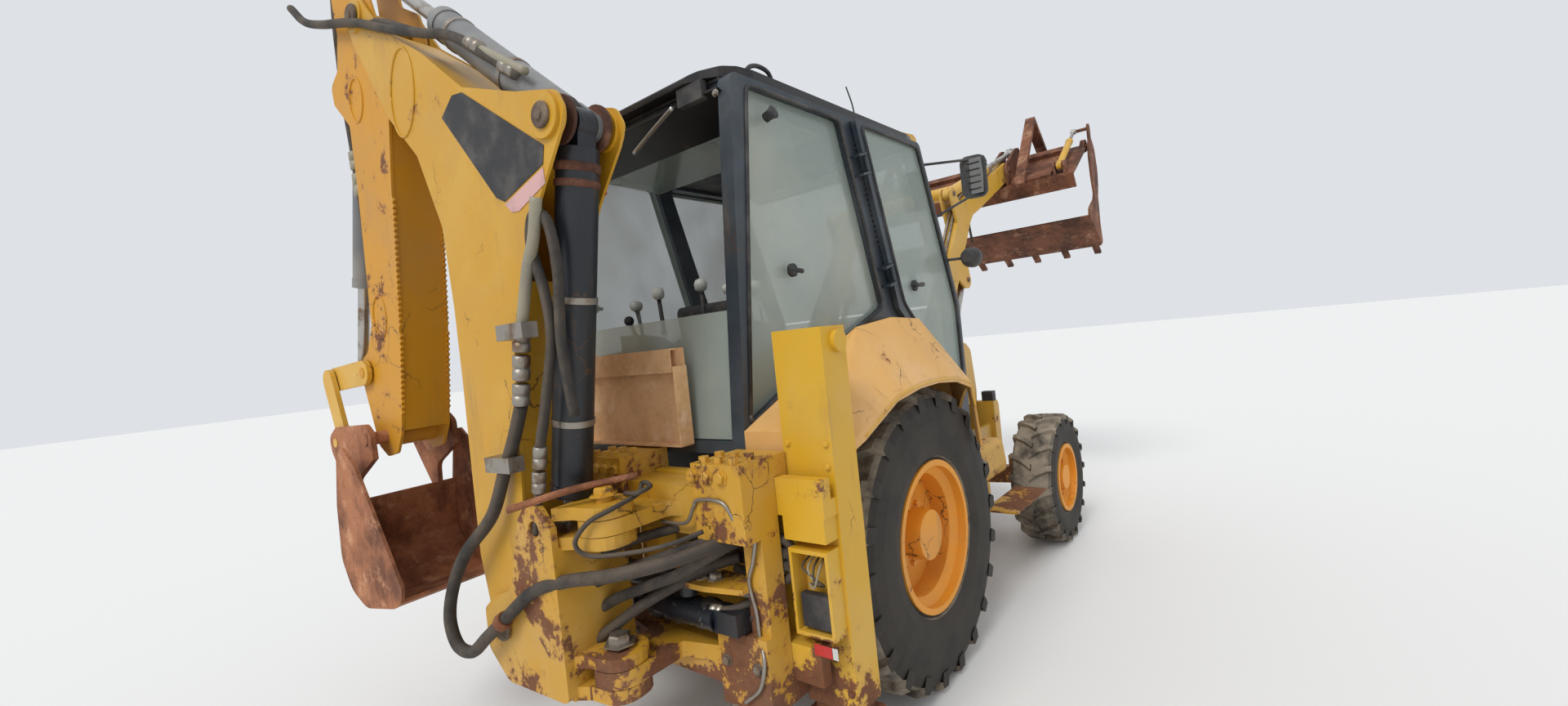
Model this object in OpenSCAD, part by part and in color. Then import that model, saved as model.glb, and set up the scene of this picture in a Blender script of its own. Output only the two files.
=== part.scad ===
// Backhoe loader, parked: loader raised and dumped, backhoe folded across the rear.
// +X forward, +Y to the machine's left, +Z up, millimetres. The origin is on the
// ground under the middle of the parked machine.

/* [Place] */
// Rear axle behind the origin
axle_back = 1015; // [900:5:1300]
// Machine centreline to the right of the origin
centre_right = 145; // [0:5:400]

/* [Wheels] */
// Distance between the axles
wheelbase = 2200; // [2050:10:2350]
// Rear tyre, outer diameter over the lugs
rear_d = 1440; // [1380:10:1500]
// Rear tyre width
rear_w = 467; // [420:5:500]
// Rear rim flange diameter
rear_rim_d = 724; // [640:5:760]
// Rear track, tyre centre to tyre centre
rear_track = 1714; // [1680:2:1740]
// Front tyre, outer diameter over the lugs
front_d = 960; // [900:10:1000]
// Front tyre width
front_w = 306; // [280:2:320]
// Front rim flange diameter
front_rim_d = 500; // [460:5:540]
// Front track, tyre centre to tyre centre
front_track = 1892; // [1880:2:1930]
// Thickness of the rim steel
rim_t = 12; // [8:1:16]
// Hub bore in every wheel
hub_bore = 110; // [90:2:130]

/* [Chassis] */
// Outer face of the frame rails from the centreline
rail_y = 340; // [320:5:350]
// Thickness of the frame rails
rail_t = 36; // [25:1:45]
// Underside of the frame rails
rail_z = 560; // [540:5:600]
// Top of the frame rails
rail_top = 800; // [760:5:840]
// Front end of the frame
frame_front = 2700; // [2650:10:2750]
// Half width of the hood
hood_y = 344; // [320:2:360]
// Top of the hood at its back
hood_z = 1640; // [1560:5:1700]
// Front of the hood
hood_front = 2660; // [2600:5:2690]
// Sheet thickness of the hood
hood_t = 10; // [6:1:14]

/* [Cab] */
// Outer face of the cab sides from the centreline
cab_y = 750; // [720:5:780]
// Underside of the cab floor
cab_z = 1000; // [980:5:1040]
// Top of the roof
roof_z = 2895; // [2850:5:2950]
// Width of the cab posts
post = 70; // [50:2:80]
// Glass thickness
glass_t = 8; // [5:1:10]
// How far the doors stand out of the cab sides
door_out = 6; // [5:1:12]

/* [Loader] */
// Loader arm pivot ahead of the rear axle
arm_x = 1300; // [1280:5:1320]
// Loader arm pivot above the ground
arm_z = 1620; // [1590:5:1650]
// Centre of each loader arm from the centreline
arm_y = 520; // [515:1:530]
// Width of each loader arm
arm_w = 100; // [90:2:104]
// Arm pivot to bucket pivot
arm_len = 2266; // [2200:5:2300]
// Angle of the raised arms above level
arm_rest = 39.5; // [36:0.5:43]
// Angle that the loader bucket is dumped below level
dump_rest = 55; // [45:1:60]
// Angle that the clam stands open
clam_rest = 25; // [20:1:28]
// Width of the loader bucket
bucket_w = 2340; // [2300:10:2400]
// Sheet thickness of the loader bucket
bucket_t = 16; // [12:1:25]

/* [Rear frame] */
// Rear face of the slide rails behind the axle
rail_back = 1050; // [1040:5:1060]
// Outer faces of the stabilizer housings from the centreline
leg_y = 1180; // [1160:5:1200]
// Width of a stabilizer housing across the machine
leg_w = 220; // [200:5:230]
// Depth of a stabilizer housing
leg_d = 150; // [140:5:155]
// Top of the stabilizer housings
leg_top = 1770; // [1700:5:1800]
// Wall of the stabilizer housings
leg_wall = 14; // [10:1:18]
// Clearance of everything that slides
slide_gap = 2; // [1:0.5:4]

/* [Backhoe] */
// Swing pivot behind the rear axle
king_back = 1420; // [1410:5:1430]
// Swing pivot to the right of the centreline
king_right = 470; // [450:5:500]
// Angle from straight left that the boom points back
swing_rest = 4; // [3:0.5:6]
// Outer width of the boom
boom_w = 260; // [240:4:270]
// Outer width of the stick
stick_w = 220; // [200:4:228]
// Width of the backhoe bucket
hoe_w = 560; // [520:10:580]
// Side plate thickness of boom and stick
plate_t = 12; // [8:1:16]
// Boom cylinder bore tube, outer diameter
boom_cyl_d = 150; // [130:2:152]
// Stick cylinder bore tube, outer diameter
stick_cyl_d = 135; // [120:2:140]
// Bucket cylinder bore tube, outer diameter
hoe_cyl_d = 100; // [85:2:105]
// Diameter of the cylinder rods
rod_d = 65; // [50:2:70]

/* [Hidden] */
$fn = 48;

yellow = "#e0a526";
black = "#2c2e30";
steel = "#8d8f91";
rust = "#8a4b32";

// Points of the loader in the machine's side plane
A = [arm_x, arm_z];
H = A + arm_len * [cos(arm_rest), sin(arm_rest)];
lift_foot = [1050, 720];
lift_eye = [750, -60];            // along and across the arm
tilt_base = [1800, 2700];
ear_up = 380;                     // tilt ear above the bucket pivot
U = H + ear_up * [sin(dump_rest), cos(dump_rest)];
clam_pin = [190, 560];            // in the level bucket, from its pivot
// Points of the backhoe: out from the swing pivot, and above the ground
king_boom = [470, 750];
king_cyl = [205, 1150];
ear = [-85, 2560];
nose = [1200, 3380];
tail = [1400, 3780];
hoe_pin = [1430, 1475];
lever_pin = [1540, 1790];
hoe_ear = [350, -18];             // bucket's link pin from its hinge pin
hoe_base = [1500, 3150];

// Rounds every corner of a polygon with an arc of its own radius
function unit(v) = v / norm(v);
function turn(a, b) = a[0] * b[1] - a[1] * b[0];
function corner(a, p, b, r) =
    let (u = unit(a - p), v = unit(b - p), half = acos(max(-1, min(1, u * v))) / 2)
    half > 88 || r < 0.5 ? [p] :
    let (t = min(r / tan(half), norm(a - p) * 0.49, norm(b - p) * 0.49), rr = t * tan(half),
        c = p + unit(u + v) * rr / sin(half), s = p + u * t - c, sweep = 180 - 2 * half,
        dir = turn(u, v) > 0 ? -1 : 1)
    [for (i = [0:4]) let (w = dir * sweep * i / 4) c + [s[0] * cos(w) - s[1] * sin(w),
        s[0] * sin(w) + s[1] * cos(w)]];
function rounded(pts, r) = [for (i = [0:len(pts) - 1])
    each corner(pts[(i + len(pts) - 1) % len(pts)], pts[i], pts[(i + 1) % len(pts)],
        is_list(r) ? r[i] : r)];

// Outlines moved in by a gap, closed or open
function miter(a, p, b, g) = let (u = unit(p - a), v = unit(b - p), n = [-u[1], u[0]],
    m = unit([-u[1] - v[1], u[0] + v[0]])) p + m * g / (m * n);
function shrink(pts, g) = let (k = len(pts)) [for (i = [0:k - 1])
    miter(pts[(i + k - 1) % k], pts[i], pts[(i + 1) % k], g)];
function along(pts, g) = let (k = len(pts)) [for (i = [0:k - 1])
    miter(i == 0 ? 2 * pts[0] - pts[1] : pts[i - 1], pts[i], i == k - 1 ? 2 * pts[i] - pts[i - 1] : pts[i + 1], g)];
function backwards(pts) = [for (i = [len(pts) - 1:-1:0]) pts[i]];
// A sheet that follows an open outline, on its left side
module closing(pts, from, to, w) plate(concat(along(pts, from), backwards(along(pts, to))), -w / 2, w);

module both() { children(); mirror([0, 1, 0]) children(); }
module place() translate([-axle_back, -centre_right, 0]) children();
// A plate in the side plane, from y to y + t
module plate(pts, y, t) translate([0, y + t, 0]) rotate([90, 0, 0]) linear_extrude(t) polygon(pts);
// A round bar along Y at a point of the side plane, from y to y + t
module pin(p, y, t, d) translate([p[0], y + t, p[1]]) rotate([90, 0, 0]) cylinder(d = d, h = t);
module box(a, b) translate(a) cube(b - a);
// Stands children, drawn along +X, at a point of the side plane and turns them up by an angle
module aim(p, angle) translate([p[0], 0, p[1]]) rotate([0, -angle, 0]) children();
function angle_to(p, q) = atan2(q[1] - p[1], q[0] - p[0]);
// A square bar between two points in space
module bar(p, q, w, h) {
    d = q - p;
    translate(p) rotate([0, -asin(d[2] / norm(d)), atan2(d[1], d[0])])
        translate([0, -w / 2, -h / 2]) cube([norm(d), w, h]);
}
module rod(p, q, d) {
    v = q - p;
    translate(p) rotate([0, 90 - asin(v[2] / norm(v)), atan2(v[1], v[0])]) cylinder(d = d, h = norm(v));
}

// Wheels
module tyre(d, w, rim_d) {
    r = d / 2;
    rim = rim_d / 2 - 16;
    rotate([90, 0, 0]) rotate_extrude() polygon(rounded([[rim, -w * 0.40], [rim + 30, -w * 0.41],
        [(r + rim) / 2, -w / 2], [r - 45, -w * 0.475], [r - 4, -w * 0.42], [r, 0], [r - 4, w * 0.42],
        [r - 45, w * 0.475], [(r + rim) / 2, w / 2], [rim + 30, w * 0.41], [rim, w * 0.40]],
        [2, 20, 60, 40, 20, 0, 20, 40, 60, 20, 2]));
}
// The outer side of the wheel is +Y; disc says how far in the disc stands from the middle
module rim(d, w, disc, hub_d, hub_out, studs) {
    r = d / 2;
    base = r - 17;
    a = w * 0.40 + 4;
    rotate([90, 0, 0]) difference() {
        union() {
            rotate_extrude() polygon([[base, -a], [r, -a], [r, -a - 14], [base - rim_t, -a - 14],
                [base - rim_t, -a + 30], [base - 40 - rim_t, -a + 60], [base - 40 - rim_t, a - 60],
                [base - rim_t, a - 30], [base - rim_t, a + 14], [r, a + 14], [r, a], [base, a], [base, a - 32],
                [base - 40, a - 62], [base - 40, -a + 62], [base, -a + 32]]);
            translate([0, 0, -disc - rim_t]) cylinder(r = base - 40 - rim_t / 2, h = rim_t + 4);
            translate([0, 0, -disc - rim_t - 40]) cylinder(d = hub_d, h = 50 + rim_t);
            translate([0, 0, -disc - hub_out]) cylinder(d1 = hub_d * 0.72, d2 = hub_d * 0.8, h = hub_out);
            for (i = [0:studs - 1]) rotate([0, 0, 360 / studs * i]) translate([hub_d * 0.44, 0, -disc - rim_t - 58])
                cylinder(d = 28, h = 20, $fn = 6);
        }
        translate([0, 0, -disc - hub_out + 40]) cylinder(d = hub_bore, h = w + hub_out);
    }
}
module rear_wheel(side) translate([0, side * rear_track / 2, rear_d / 2]) mirror([0, side < 0 ? 1 : 0, 0]) children();
module front_wheel(side) translate([wheelbase, side * front_track / 2, front_d / 2])
    mirror([0, side < 0 ? 1 : 0, 0]) children();
module rear_tyre(side) color(black) rear_wheel(side) tyre(rear_d, rear_w, rear_rim_d);
module front_tyre(side) color(black) front_wheel(side) tyre(front_d, front_w, front_rim_d);
module rear_rim(side) color(yellow) rear_wheel(side) rim(rear_rim_d, rear_w, 20, 330, 150, 10);
module front_rim(side) color(yellow) front_wheel(side) rim(front_rim_d, front_w, 20, 250, 105, 8);

kingpin_y = front_track / 2 - 176;
knuckle_h = 230;
module knuckle(side) color(yellow) translate([wheelbase, 0, front_d / 2]) mirror([0, side < 0 ? 1 : 0, 0]) {
    difference() {
        union() {
            translate([0, kingpin_y, -knuckle_h / 2]) cylinder(d = 120, h = knuckle_h);
            translate([-45, kingpin_y, -60]) cube([90, 104, 120]);
            translate([-170, kingpin_y - 25, -30]) cube([130, 50, 40]);
        }
        translate([0, kingpin_y, -knuckle_h / 2 - 1]) cylinder(d = 60, h = knuckle_h + 2);
    }
    translate([0, kingpin_y + 240, 0]) rotate([90, 0, 0]) cylinder(d = hub_bore - 1, h = 137);
}

// Rear axle housing and front axle beam; each stands on its own pads
module axles() color(yellow) {
    for (s = [-1, 1]) {
        translate([0, s > 0 ? 200 : -650, rear_d / 2]) rotate([-90, 0, 0]) cylinder(d = 190, h = 450);
        translate([0, s > 0 ? 600 : -650, rear_d / 2]) rotate([-90, 0, 0]) cylinder(d = 360, h = 50);
        translate([0, s > 0 ? 640 : -960, rear_d / 2]) rotate([-90, 0, 0]) cylinder(d = hub_bore - 1, h = 320);
        box([-130, s > 0 ? rail_y - rail_t - 15 : -rail_y - 15, rear_d / 2],
            [130, s > 0 ? rail_y + 15 : -rail_y + rail_t + 15, axle_top]);
    }
    translate([0, 0, rear_d / 2]) rotate_extrude() polygon(rounded([[0, -210], [120, -200], [210, -90],
        [210, 90], [120, 200], [0, 210]], [0, 40, 60, 60, 40, 0]));
    translate([0, -210, rear_d / 2]) rotate([-90, 0, 0]) cylinder(d = 230, h = 420);
    difference() {
        union() {
            translate([wheelbase, 0, 0]) rotate([90, 0, 90]) linear_extrude(90, center = true)
                polygon(rounded([[74 - kingpin_y, 420], [-250, 400], [250, 400], [kingpin_y - 74, 420], [kingpin_y - 74, 540],
                    [260, 560], [-260, 560], [74 - kingpin_y, 540]], 18));
            for (s = [-1, 1], z = [-1, 1]) translate([wheelbase, s * kingpin_y, front_d / 2 + (z > 0 ?
                knuckle_h / 2 + 3 : -knuckle_h / 2 - 43)]) cylinder(d = 130, h = 40);
            both() translate([wheelbase - 45, kingpin_y - 110, front_d / 2 - knuckle_h / 2 - 43])
                cube([90, 36, knuckle_h + 86]);
            both() for (z = [-knuckle_h / 2 - 43, knuckle_h / 2 + 3]) translate([wheelbase - 45, kingpin_y - 110,
                front_d / 2 + z]) cube([90, 110, 40]);
        }
    }
    for (s = [-1, 1]) translate([wheelbase, s * kingpin_y, front_d / 2 - knuckle_h / 2 - 4])
        cylinder(d = 58, h = knuckle_h + 8);
}
axle_top = 900;

// Frame rails, cross members, loader towers, cab mounts and front weight
tower = [[1200, 640], [1460, 640], [1440, 1000], [1385, 1620], [1375, 1690], [1320, 1715], [1255, 1700],
    [1222, 1640], [1215, 1000]];
module main_frame() color(yellow) difference() {
    union() {
        both() plate(rounded([[-950, rail_z], [-330, rail_z], [-230, axle_top], [230, axle_top], [330, rail_z],
            [frame_front, rail_z], [frame_front, rail_top], [1450, rail_top], [1000, rail_top + 60],
            [320, 985], [-330, 985], [-600, rail_top + 60], [-950, rail_top + 60]], 0), rail_y - rail_t, rail_t);
        for (x = [-940, 420, 1150, 1520, 2130, 2360]) box([x, -rail_y + 1, rail_z], [x + (x == 2130 ? 140 : 80), rail_y - 1, rail_z + 60]);
        box([620, -rail_y + 1, 700], [700, rail_y - 1, 780]);
        box([-600, -rail_y + 1, 700], [-540, rail_y - 1, 860]);
        for (s = [-1, 1]) {
            // cab mounts and tank carriers
            for (x = [-560, 900]) box([x, s > 0 ? rail_y - rail_t : -rail_y, rail_top - 20],
                [x + 90, s > 0 ? rail_y : -rail_y + rail_t, cab_z]);
            for (x = [790, 900]) box([x, s > 0 ? rail_y - 1 : -tank_in, 650], [x + 60, s > 0 ? tank_in : -rail_y + 1, 750]);
            // loader tower
            for (y = [arm_y - arm_w / 2 - 30, arm_y + arm_w / 2 + 5]) plate(rounded(tower, 20),
                s > 0 ? y : -y - 25, 25);
            box([1200, s > 0 ? rail_y - 1 : -arm_y - arm_w / 2 - 5, 640], [1455, s > 0 ? arm_y + arm_w / 2 + 5 : -rail_y + 1, 690]);
            box([1225, s > 0 ? rail_y - 1 : -arm_y + arm_w / 2 + 10, 690], [1250, s > 0 ? arm_y - arm_w / 2 - 10 : -rail_y + 1, 1000]);
            // lift cylinder foot
            for (y = [arm_y - 55, arm_y + 35]) plate(rounded([[990, 740], [1000, 660], [1201, 640], [1201, 690], [1110, 690],
                [1085, 750], [1050, 775], [1015, 765]], [20, 30, 0, 0, 20, 20, 20, 20]), s > 0 ? y : -y - 20, 20);
            pin(lift_foot, s > 0 ? arm_y - 54 : -arm_y - 54, 108, 40);
            pin(A, s > 0 ? arm_y - arm_w / 2 - 45 : -arm_y - arm_w / 2 - 45, arm_w + 90, 70);
        }
        box([1215, -rail_y + 1, rail_top - 60], [1240, rail_y - 1, 940]);
        // front weight with its slots
        difference() {
            plate(rounded([[frame_front - 1, 540], [2780, 540], [2820, 600], [2820, 960], [2790, 1000],
                [frame_front - 1, 1000]], [0, 20, 20, 20, 10, 0]), -380, 760);
            for (z = [660:70:900]) box([2790, -250, z], [2830, 250, z + 36]);
        }
    }
}
tank_in = 600;

module engine() color(steel) box([1560, -200, rail_z + 60], [2330, 200, 1360]);

// Hood: a sheet shell with louvres, open below and behind
hood_side = [[1290, 1010], [hood_front, 1010], [hood_front + 20, 1120], [hood_front - 40, 1480], [2500, 1545],
    [1290, hood_z]];
function inset_hood() = [[1289, 900], [hood_front - hood_t, 900], [hood_front - hood_t + 8, 1120],
    [hood_front - 40 - hood_t, 1476 - hood_t], [2500, 1545 - hood_t], [1289, hood_z - hood_t]];
// The hood narrows from the cab to the grille
module hood_block(pts, g) intersection() {
    plate(pts, -hood_y, 2 * hood_y);
    translate([0, 0, 800]) linear_extrude(1000) polygon([[1280, g - hood_y], [hood_front + 60, g - hood_y + 104],
        [hood_front + 60, hood_y - g - 104], [1280, hood_y - g]]);
}
module hood() color(yellow) {
    difference() {
        hood_block(rounded(hood_side, [0, 12, 20, 90, 120, 0]), 0);
        hood_block(rounded(inset_hood(), [0, 6, 16, 80, 110, 0]), hood_t);
        for (z = [1080:52:1400]) box([hood_front - 80, -190, z], [hood_front + 40, 190, z + 34]);
        for (s = [-1, 1], i = [0:8]) translate([1700 + 50 * i, s * (hood_y - 22 - 4 * i), 1180]) cube([26, 90, 170], center = true);
    }
    for (s = [-1, 1]) difference() {
        box([1262, s * 250 - 20, 1580], [1330, s * 250 + 20, hood_z - 2]);
        pin([1275, 1600], s * 250 - 21, 42, 17);
    }
}

// Cab: posts, sills, floor and roof rails in one black frame
cab_outline = [[-952, 1302], [-598, 1302], [-598, 1003], [1186, 1003], [1186, 1850], [822, 2850], [-808, 2850]];
back_hole = [[-905, 1412], [-690, 1512], [250, 1862], [-14, 2815], [-716, 2815]];
door_hole = [[1000, 1060], [1125, 1060], [1125, 1850], [775, 2815], [103, 2815], [400, 1850], [700, 1590], [1000, 1372]];
arch_r = rear_d / 2 + 70;
wall_y = 590;
hinge_at = [100, 700];            // feet of the door hinges along their line
module cab_side() plate(rounded(cab_outline, [12, 0, 0, 20, 60, 40, 40]), cab_y - post, post);
// A place on the line of the door hinges, with +Z along the line
module at_hinge(a) translate([0, cab_y + door_out + 34, 0]) aim(hinge_foot, angle_to(hinge_foot, hinge_top))
    translate([a, 0, 0]) rotate([0, 90, 0]) children();
module cab_frame() color(black) {
    w = cab_y - post + 4;
    both() {
        difference() {
            cab_side();
            plate(rounded(back_hole, 30), cab_y - post - 1, post + 2);
            plate(rounded(door_hole, 30), cab_y - post - 1, post + 2);
            pin([0, rear_d / 2], cab_y - post - 1, post + 2, 2 * arch_r);
        }
        // wheel box inside the cab side
        intersection() {
            difference() {
                pin([0, rear_d / 2], wall_y, cab_y - wall_y - 1, 2 * arch_r + 24);
                pin([0, rear_d / 2], wall_y + 12, 300, 2 * arch_r);
            }
            box([-598, wall_y - 1, 1003], [790, cab_y, 1600]);
        }
        // hinge pins of the door with their brackets
        for (a = hinge_at) {
            at_hinge(a + 5) cylinder(d = 12, h = 100);
            for (b = [a, a + 98]) at_hinge(b) {
                translate([-75, -42, 0]) cube([45, 54, 12]);
                translate([-75, -1, 0]) cube([82, 13, 12]);
            }
        }
    }
    difference() {
        union() {
            box([-598, -wall_y - 2, cab_z], [770, wall_y + 2, cab_z + 50]);
            box([745, -cab_y + 3, cab_z], [1180, cab_y - 3, cab_z + 50]);
            difference() {
                box([1135, -w, cab_z + 40], [1176, w, 1372]);
                box([1100, -440, 1120], [1200, 440, 1330]);
            }
        }
        both() box([1110, arm_y - 80, cab_z - 5], [1200, arm_y + 80, 1119]);
    }
    // shelf and bulkhead under the back window
    box([-598, -wall_y - 2, cab_z + 3], [-586, wall_y + 2, 1314]);
    box([-950, -w, 1302], [-586, w, 1314]);
    box([-950, -w, 1308], [-905, w, 1352]);
    box([-790, -w, 2795], [-735, w, 2845]);
    box([750, -w, 2795], [805, w, 2845]);
    box([1128, -w, 1368], [1180, w, 1420]);
}
// Thin roof with rounded corners and a front lip that turns down
module cab_roof() color(black) {
    intersection() {
            plate(rounded([[-860, 2850], [860, 2850], [905, 2830], [945, 2775], [965, 2780], [960, 2850],
                [905, roof_z - 12], [820, roof_z], [-780, roof_z], [-860, roof_z - 14]], [6, 0, 0, 0, 6, 20, 30, 60, 60, 12]), -800, 1600);
            translate([0, 0, 2700]) linear_extrude(300) polygon(rounded([[-860, 10 - cab_y], [965, 10 - cab_y],
                [965, cab_y - 10], [-860, cab_y - 10]], 210));
    }
}
module cab_windows() color("lightblue") {
    w = cab_y - post - 2;
    both() plate(rounded(shrink(back_hole, 1), 29), cab_y - 40, glass_t);
    // windscreen in two panes, back glass, and the upper back pane pushed up under the roof
    bar3([1150, 1426], [1150, 1850], w);
    bar3([1146, 1866], [800, 2788], w);
    bar3([-928, 1358], [-880, 1880], w);
    bar3([-700, 2785], [-20, 2760], w - 30);
}
module bar3(p, q, y) bar([p[0], 0, p[1]], [q[0], 0, q[1]], 2 * y, glass_t);

// Doors hang on the slanted middle posts
hinge_top = [112, 2760];
hinge_foot = [360, 1885];
door_pts = [[972, 1034], [1176, 1034], [1190, 1400], [1186, 1852], [813, 2838], [81, 2838], [362, 1842], [668, 1566],
    [972, 1346]];
door_glass = [[1010, 1395], [1135, 1400], [1135, 1842], [775, 2806], [144, 2806], [420, 1872], [702, 1618]];
module door(side) color(black) mirror([0, side < 0 ? 1 : 0, 0]) difference() {
    union() {
        difference() {
            plate(rounded(door_pts, [20, 20, 60, 60, 40, 30, 30, 40, 30]), cab_y + door_out, 30);
            plate(rounded(door_glass, 40), cab_y + door_out - 1, 32);
        }
        for (a = hinge_at) at_hinge(a + 20) cylinder(d = 26, h = 70);
    }
    for (a = hinge_at) {
        at_hinge(a) cylinder(d = 13, h = 110);
        for (b = [-4, 94]) at_hinge(a + b) cylinder(d = 36, h = 20);
    }
}
module door_pane(side) color("lightblue") mirror([0, side < 0 ? 1 : 0, 0])
    plate(rounded(shrink(door_glass, 1), 39), cab_y + door_out + 11, glass_t);

module operator_station() color(black) {
    // seat, steering column and wheel, side consoles
    box([-250, -240, cab_z + 50], [150, 240, cab_z + 330]);
    plate(rounded([[-280, cab_z + 330], [230, cab_z + 330], [230, cab_z + 430], [-160, cab_z + 450], [-260, cab_z + 980],
        [-350, cab_z + 980]], 40), -240, 480);
    box([640, -70, cab_z + 50], [760, 70, cab_z + 95]);
    rod([700, 0, cab_z + 80], [600, 0, cab_z + 640], 90);
    translate([590, 0, cab_z + 690]) rotate([0, -20, 0]) {
        rotate_extrude() translate([180, 0]) circle(d = 30, $fn = 16);
        rotate([0, 0, 0]) translate([-180, -15, -8]) cube([360, 30, 16]);
        cylinder(d = 80, h = 50, center = true);
    }
    both() {
        box([-560, 330, cab_z + 50], [-160, 500, cab_z + 640]);
        rod([-430, 400, cab_z + 630], [-560, 400, cab_z + 930], 22);
        translate([-560, 400, cab_z + 930]) sphere(d = 55);
    }
}

// Rear wheel arches, moulded from the outer lip up to the cab side
fender_in = 752;
fender_out = 1150;
lip = [[-952, 1250], [-700, 1320], [-420, 1430], [-200, 1458], [-10, 1460], [200, 1440], [370, 1390], [400, 1280], [440, 1040]];
module fender_skin(g) hull() {
    plate(concat([for (p = lip) p + [p[0] < -900 ? g : 0, 30 - g]], [[380, 1035], [-950 + g, 1235]]), fender_out - 60 - g, 60);
    plate([[-952 + g, 1250], [-948 + g, 1395 - g], [-360, 1760 - g], [-50, 1790 - g], [250, 1775 - g], [560 - g, 1480 - g],
        [640 - g, 1200]], 940 - g, 10);
    plate([[-952 + g, 1250], [-948 + g, 1395 - g], [-660, 1500 - g], [300, 1800 - g], [470 - g, 1640 - g],
        [640 - g, 1200]], fender_in - g, 20);
}
module fenders() color(yellow) both() difference() {
    fender_skin(0);
    fender_skin(10);
    pin([0, rear_d / 2], fender_in - 20, fender_out - fender_in - 25, 2 * 785);
    plate(concat(lip, [[440, 600], [-975, 600]]), fender_in + 40, 500);
    box([-1000, leg_y - leg_w - 6, 1000], [leg_x + leg_d + 6, 1300, 1700]);
}

// Fuel tank on the left, oil tank and battery box on the right, with hung steps
module side_tanks() color(yellow) both() {
    rear = rear_d / 2 + 55;
    difference() {
        plate(rounded([[rear, 520], [1120, 520], [1120, 940], [1050, 960], [rear + 25, 960], [rear, 860]], 30), tank_in, 300);
        box([900, tank_in + 120, 700], [1121, tank_in + 301, 1000]);
    }
    // battery box in front of the tank, open step plate below on two brackets
    translate([1000, 0, 0]) rotate([90, 0, 90]) linear_extrude(420)
        polygon(rounded([[tank_in + 122, 702], [900, 702], [910, 760], [895, 900], [860, 925], [tank_in + 122, 925]], [0, 20, 40, 40, 30, 0]));
    box([900, tank_in + 100, 702], [1010, tank_in + 130, 800]);
    for (x = [1000, 1100]) box([x, tank_in + 270, 530], [x + 14, tank_in + 310, 560]);
    box([1000, tank_in + 290, 535], [1600, tank_in + 500, 547]);
}
module exhaust() color(black) difference() {
    union() {
        rod([1530, 428, rail_top + 200], [1530, 428, 2080], 56);
        box([1390, 400, 1060], [1530, 440, 1100]);
    }
    translate([1530, 428, 1300]) cylinder(d = 46, h = 800);
}
module mirrors() color(black) both() {
    difference() {
        union() {
            rod([862, cab_y - 36, 2725], [1132, cab_y + 225, 2742], 16);
            rod([984, cab_y - 36, 2387], [1136, cab_y + 225, 2525], 16);
        }
        cab_side();
    }
    translate([1140, cab_y + 232, 2632]) rotate([0, 0, -14]) rotate([0, 90, 0]) linear_extrude(38, center = true)
        polygon(rounded([[-130, -78], [130, -78], [130, 78], [-130, 78]], 45));
}
// Work lamps on stalks at the front posts and under the roof, headlamps on the front weight
module lamps() color(yellow) both() {
    difference() {
        rod([1074, cab_y - 38, 2140], [1158, cab_y + 130, 2140], 18);
        cab_side();
    }
    translate([1100, cab_y + 150, 2140]) rotate([0, 90, 0]) cylinder(d1 = 80, d2 = 124, h = 60);
    translate([1160, cab_y + 150, 2140]) rotate([0, 90, 0]) cylinder(d = 124, h = 45);
    // yellow brow over the front corner of the roof
    plate([[640, roof_z + 1], [964, roof_z + 1], [980, 2850], [992, 2850], [975, 2925], [940, 2938], [650, 2912]], cab_y - 190, 130);
    box([-850, 470, 2770], [-815, 620, 2848]);
    box([2715, 270, 1000], [2790, 370, 1085]);
}

// Rear frame with slide rails, stabilizer housings, lamp boxes and centre plate
leg_x = -970;
rail_h = 135;
upper_z = 1115;
lower_z = 515;
rail_web = 60;
module rear_frame() color(yellow) {
    difference() {
        union() {
            both() box([leg_x, leg_y - leg_w, 400], [leg_x + leg_d, leg_y, leg_top]);
            box([-rail_back, -leg_y + 5, upper_z], [-rail_back + 48, leg_y - 5, upper_z + rail_h]);
            box([-rail_back + 47, -leg_y + 5, upper_z], [leg_x + 1, leg_y - 5, upper_z + rail_web]);
            box([-rail_back, -leg_y + 80, lower_z], [-rail_back + 48, leg_y - 80, lower_z + rail_h]);
            box([-rail_back + 47, -leg_y + 80, lower_z + rail_h - rail_web], [leg_x + 1, leg_y - 80, lower_z + rail_h]);
            box([leg_x, -leg_y + leg_w, lower_z + rail_h - rail_web], [leg_x + 20, leg_y - leg_w, upper_z + rail_web]);
            both() {
                // corner gusset under the upper rail, lamp box, loop ear, top pin boss
                plate(rounded([[-rail_back, upper_z + 2], [leg_x + 1, upper_z + 2], [leg_x + 1, 1030], [-rail_back, 1030]], 0),
                    leg_y - leg_w + 30, leg_w - 40);
                box([-rail_back + 1, leg_y - leg_w + 40, 690], [leg_x + 1, leg_y - 12, 1000]);
                difference() {
                    plate(rounded([[-900, 1180], [-800, 1160], [-760, 1100], [-760, 960], [-800, 900], [-900, 880]], 30),
                        leg_y - 60, 22);
                    plate(rounded([[-812, 1100], [-780, 1090], [-780, 970], [-812, 960]], 12), leg_y - 61, 24);
                }
                pin([-880, 1715], leg_y - 2, 22, 80);
            }
        }
        both() {
            box([leg_x + leg_wall, leg_y - leg_w + leg_wall, 390], [leg_x + leg_d - leg_wall, leg_y - leg_wall, leg_top - leg_wall]);
            box([-rail_back - 1, leg_y - leg_w + 52, 705], [leg_x - 2, leg_y - 24, 985]);
        }
        box([leg_x - 1, -300, 720], [leg_x + 21, -60, 1080]);
        box([leg_x - 1, 60, 720], [leg_x + 21, 300, 1080]);
        for (s = [-1, 1]) box([leg_x - 1, s > 0 ? 420 : -900, 720], [leg_x + 21, s > 0 ? 900 : -420, 1080]);
    }
}
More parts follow.
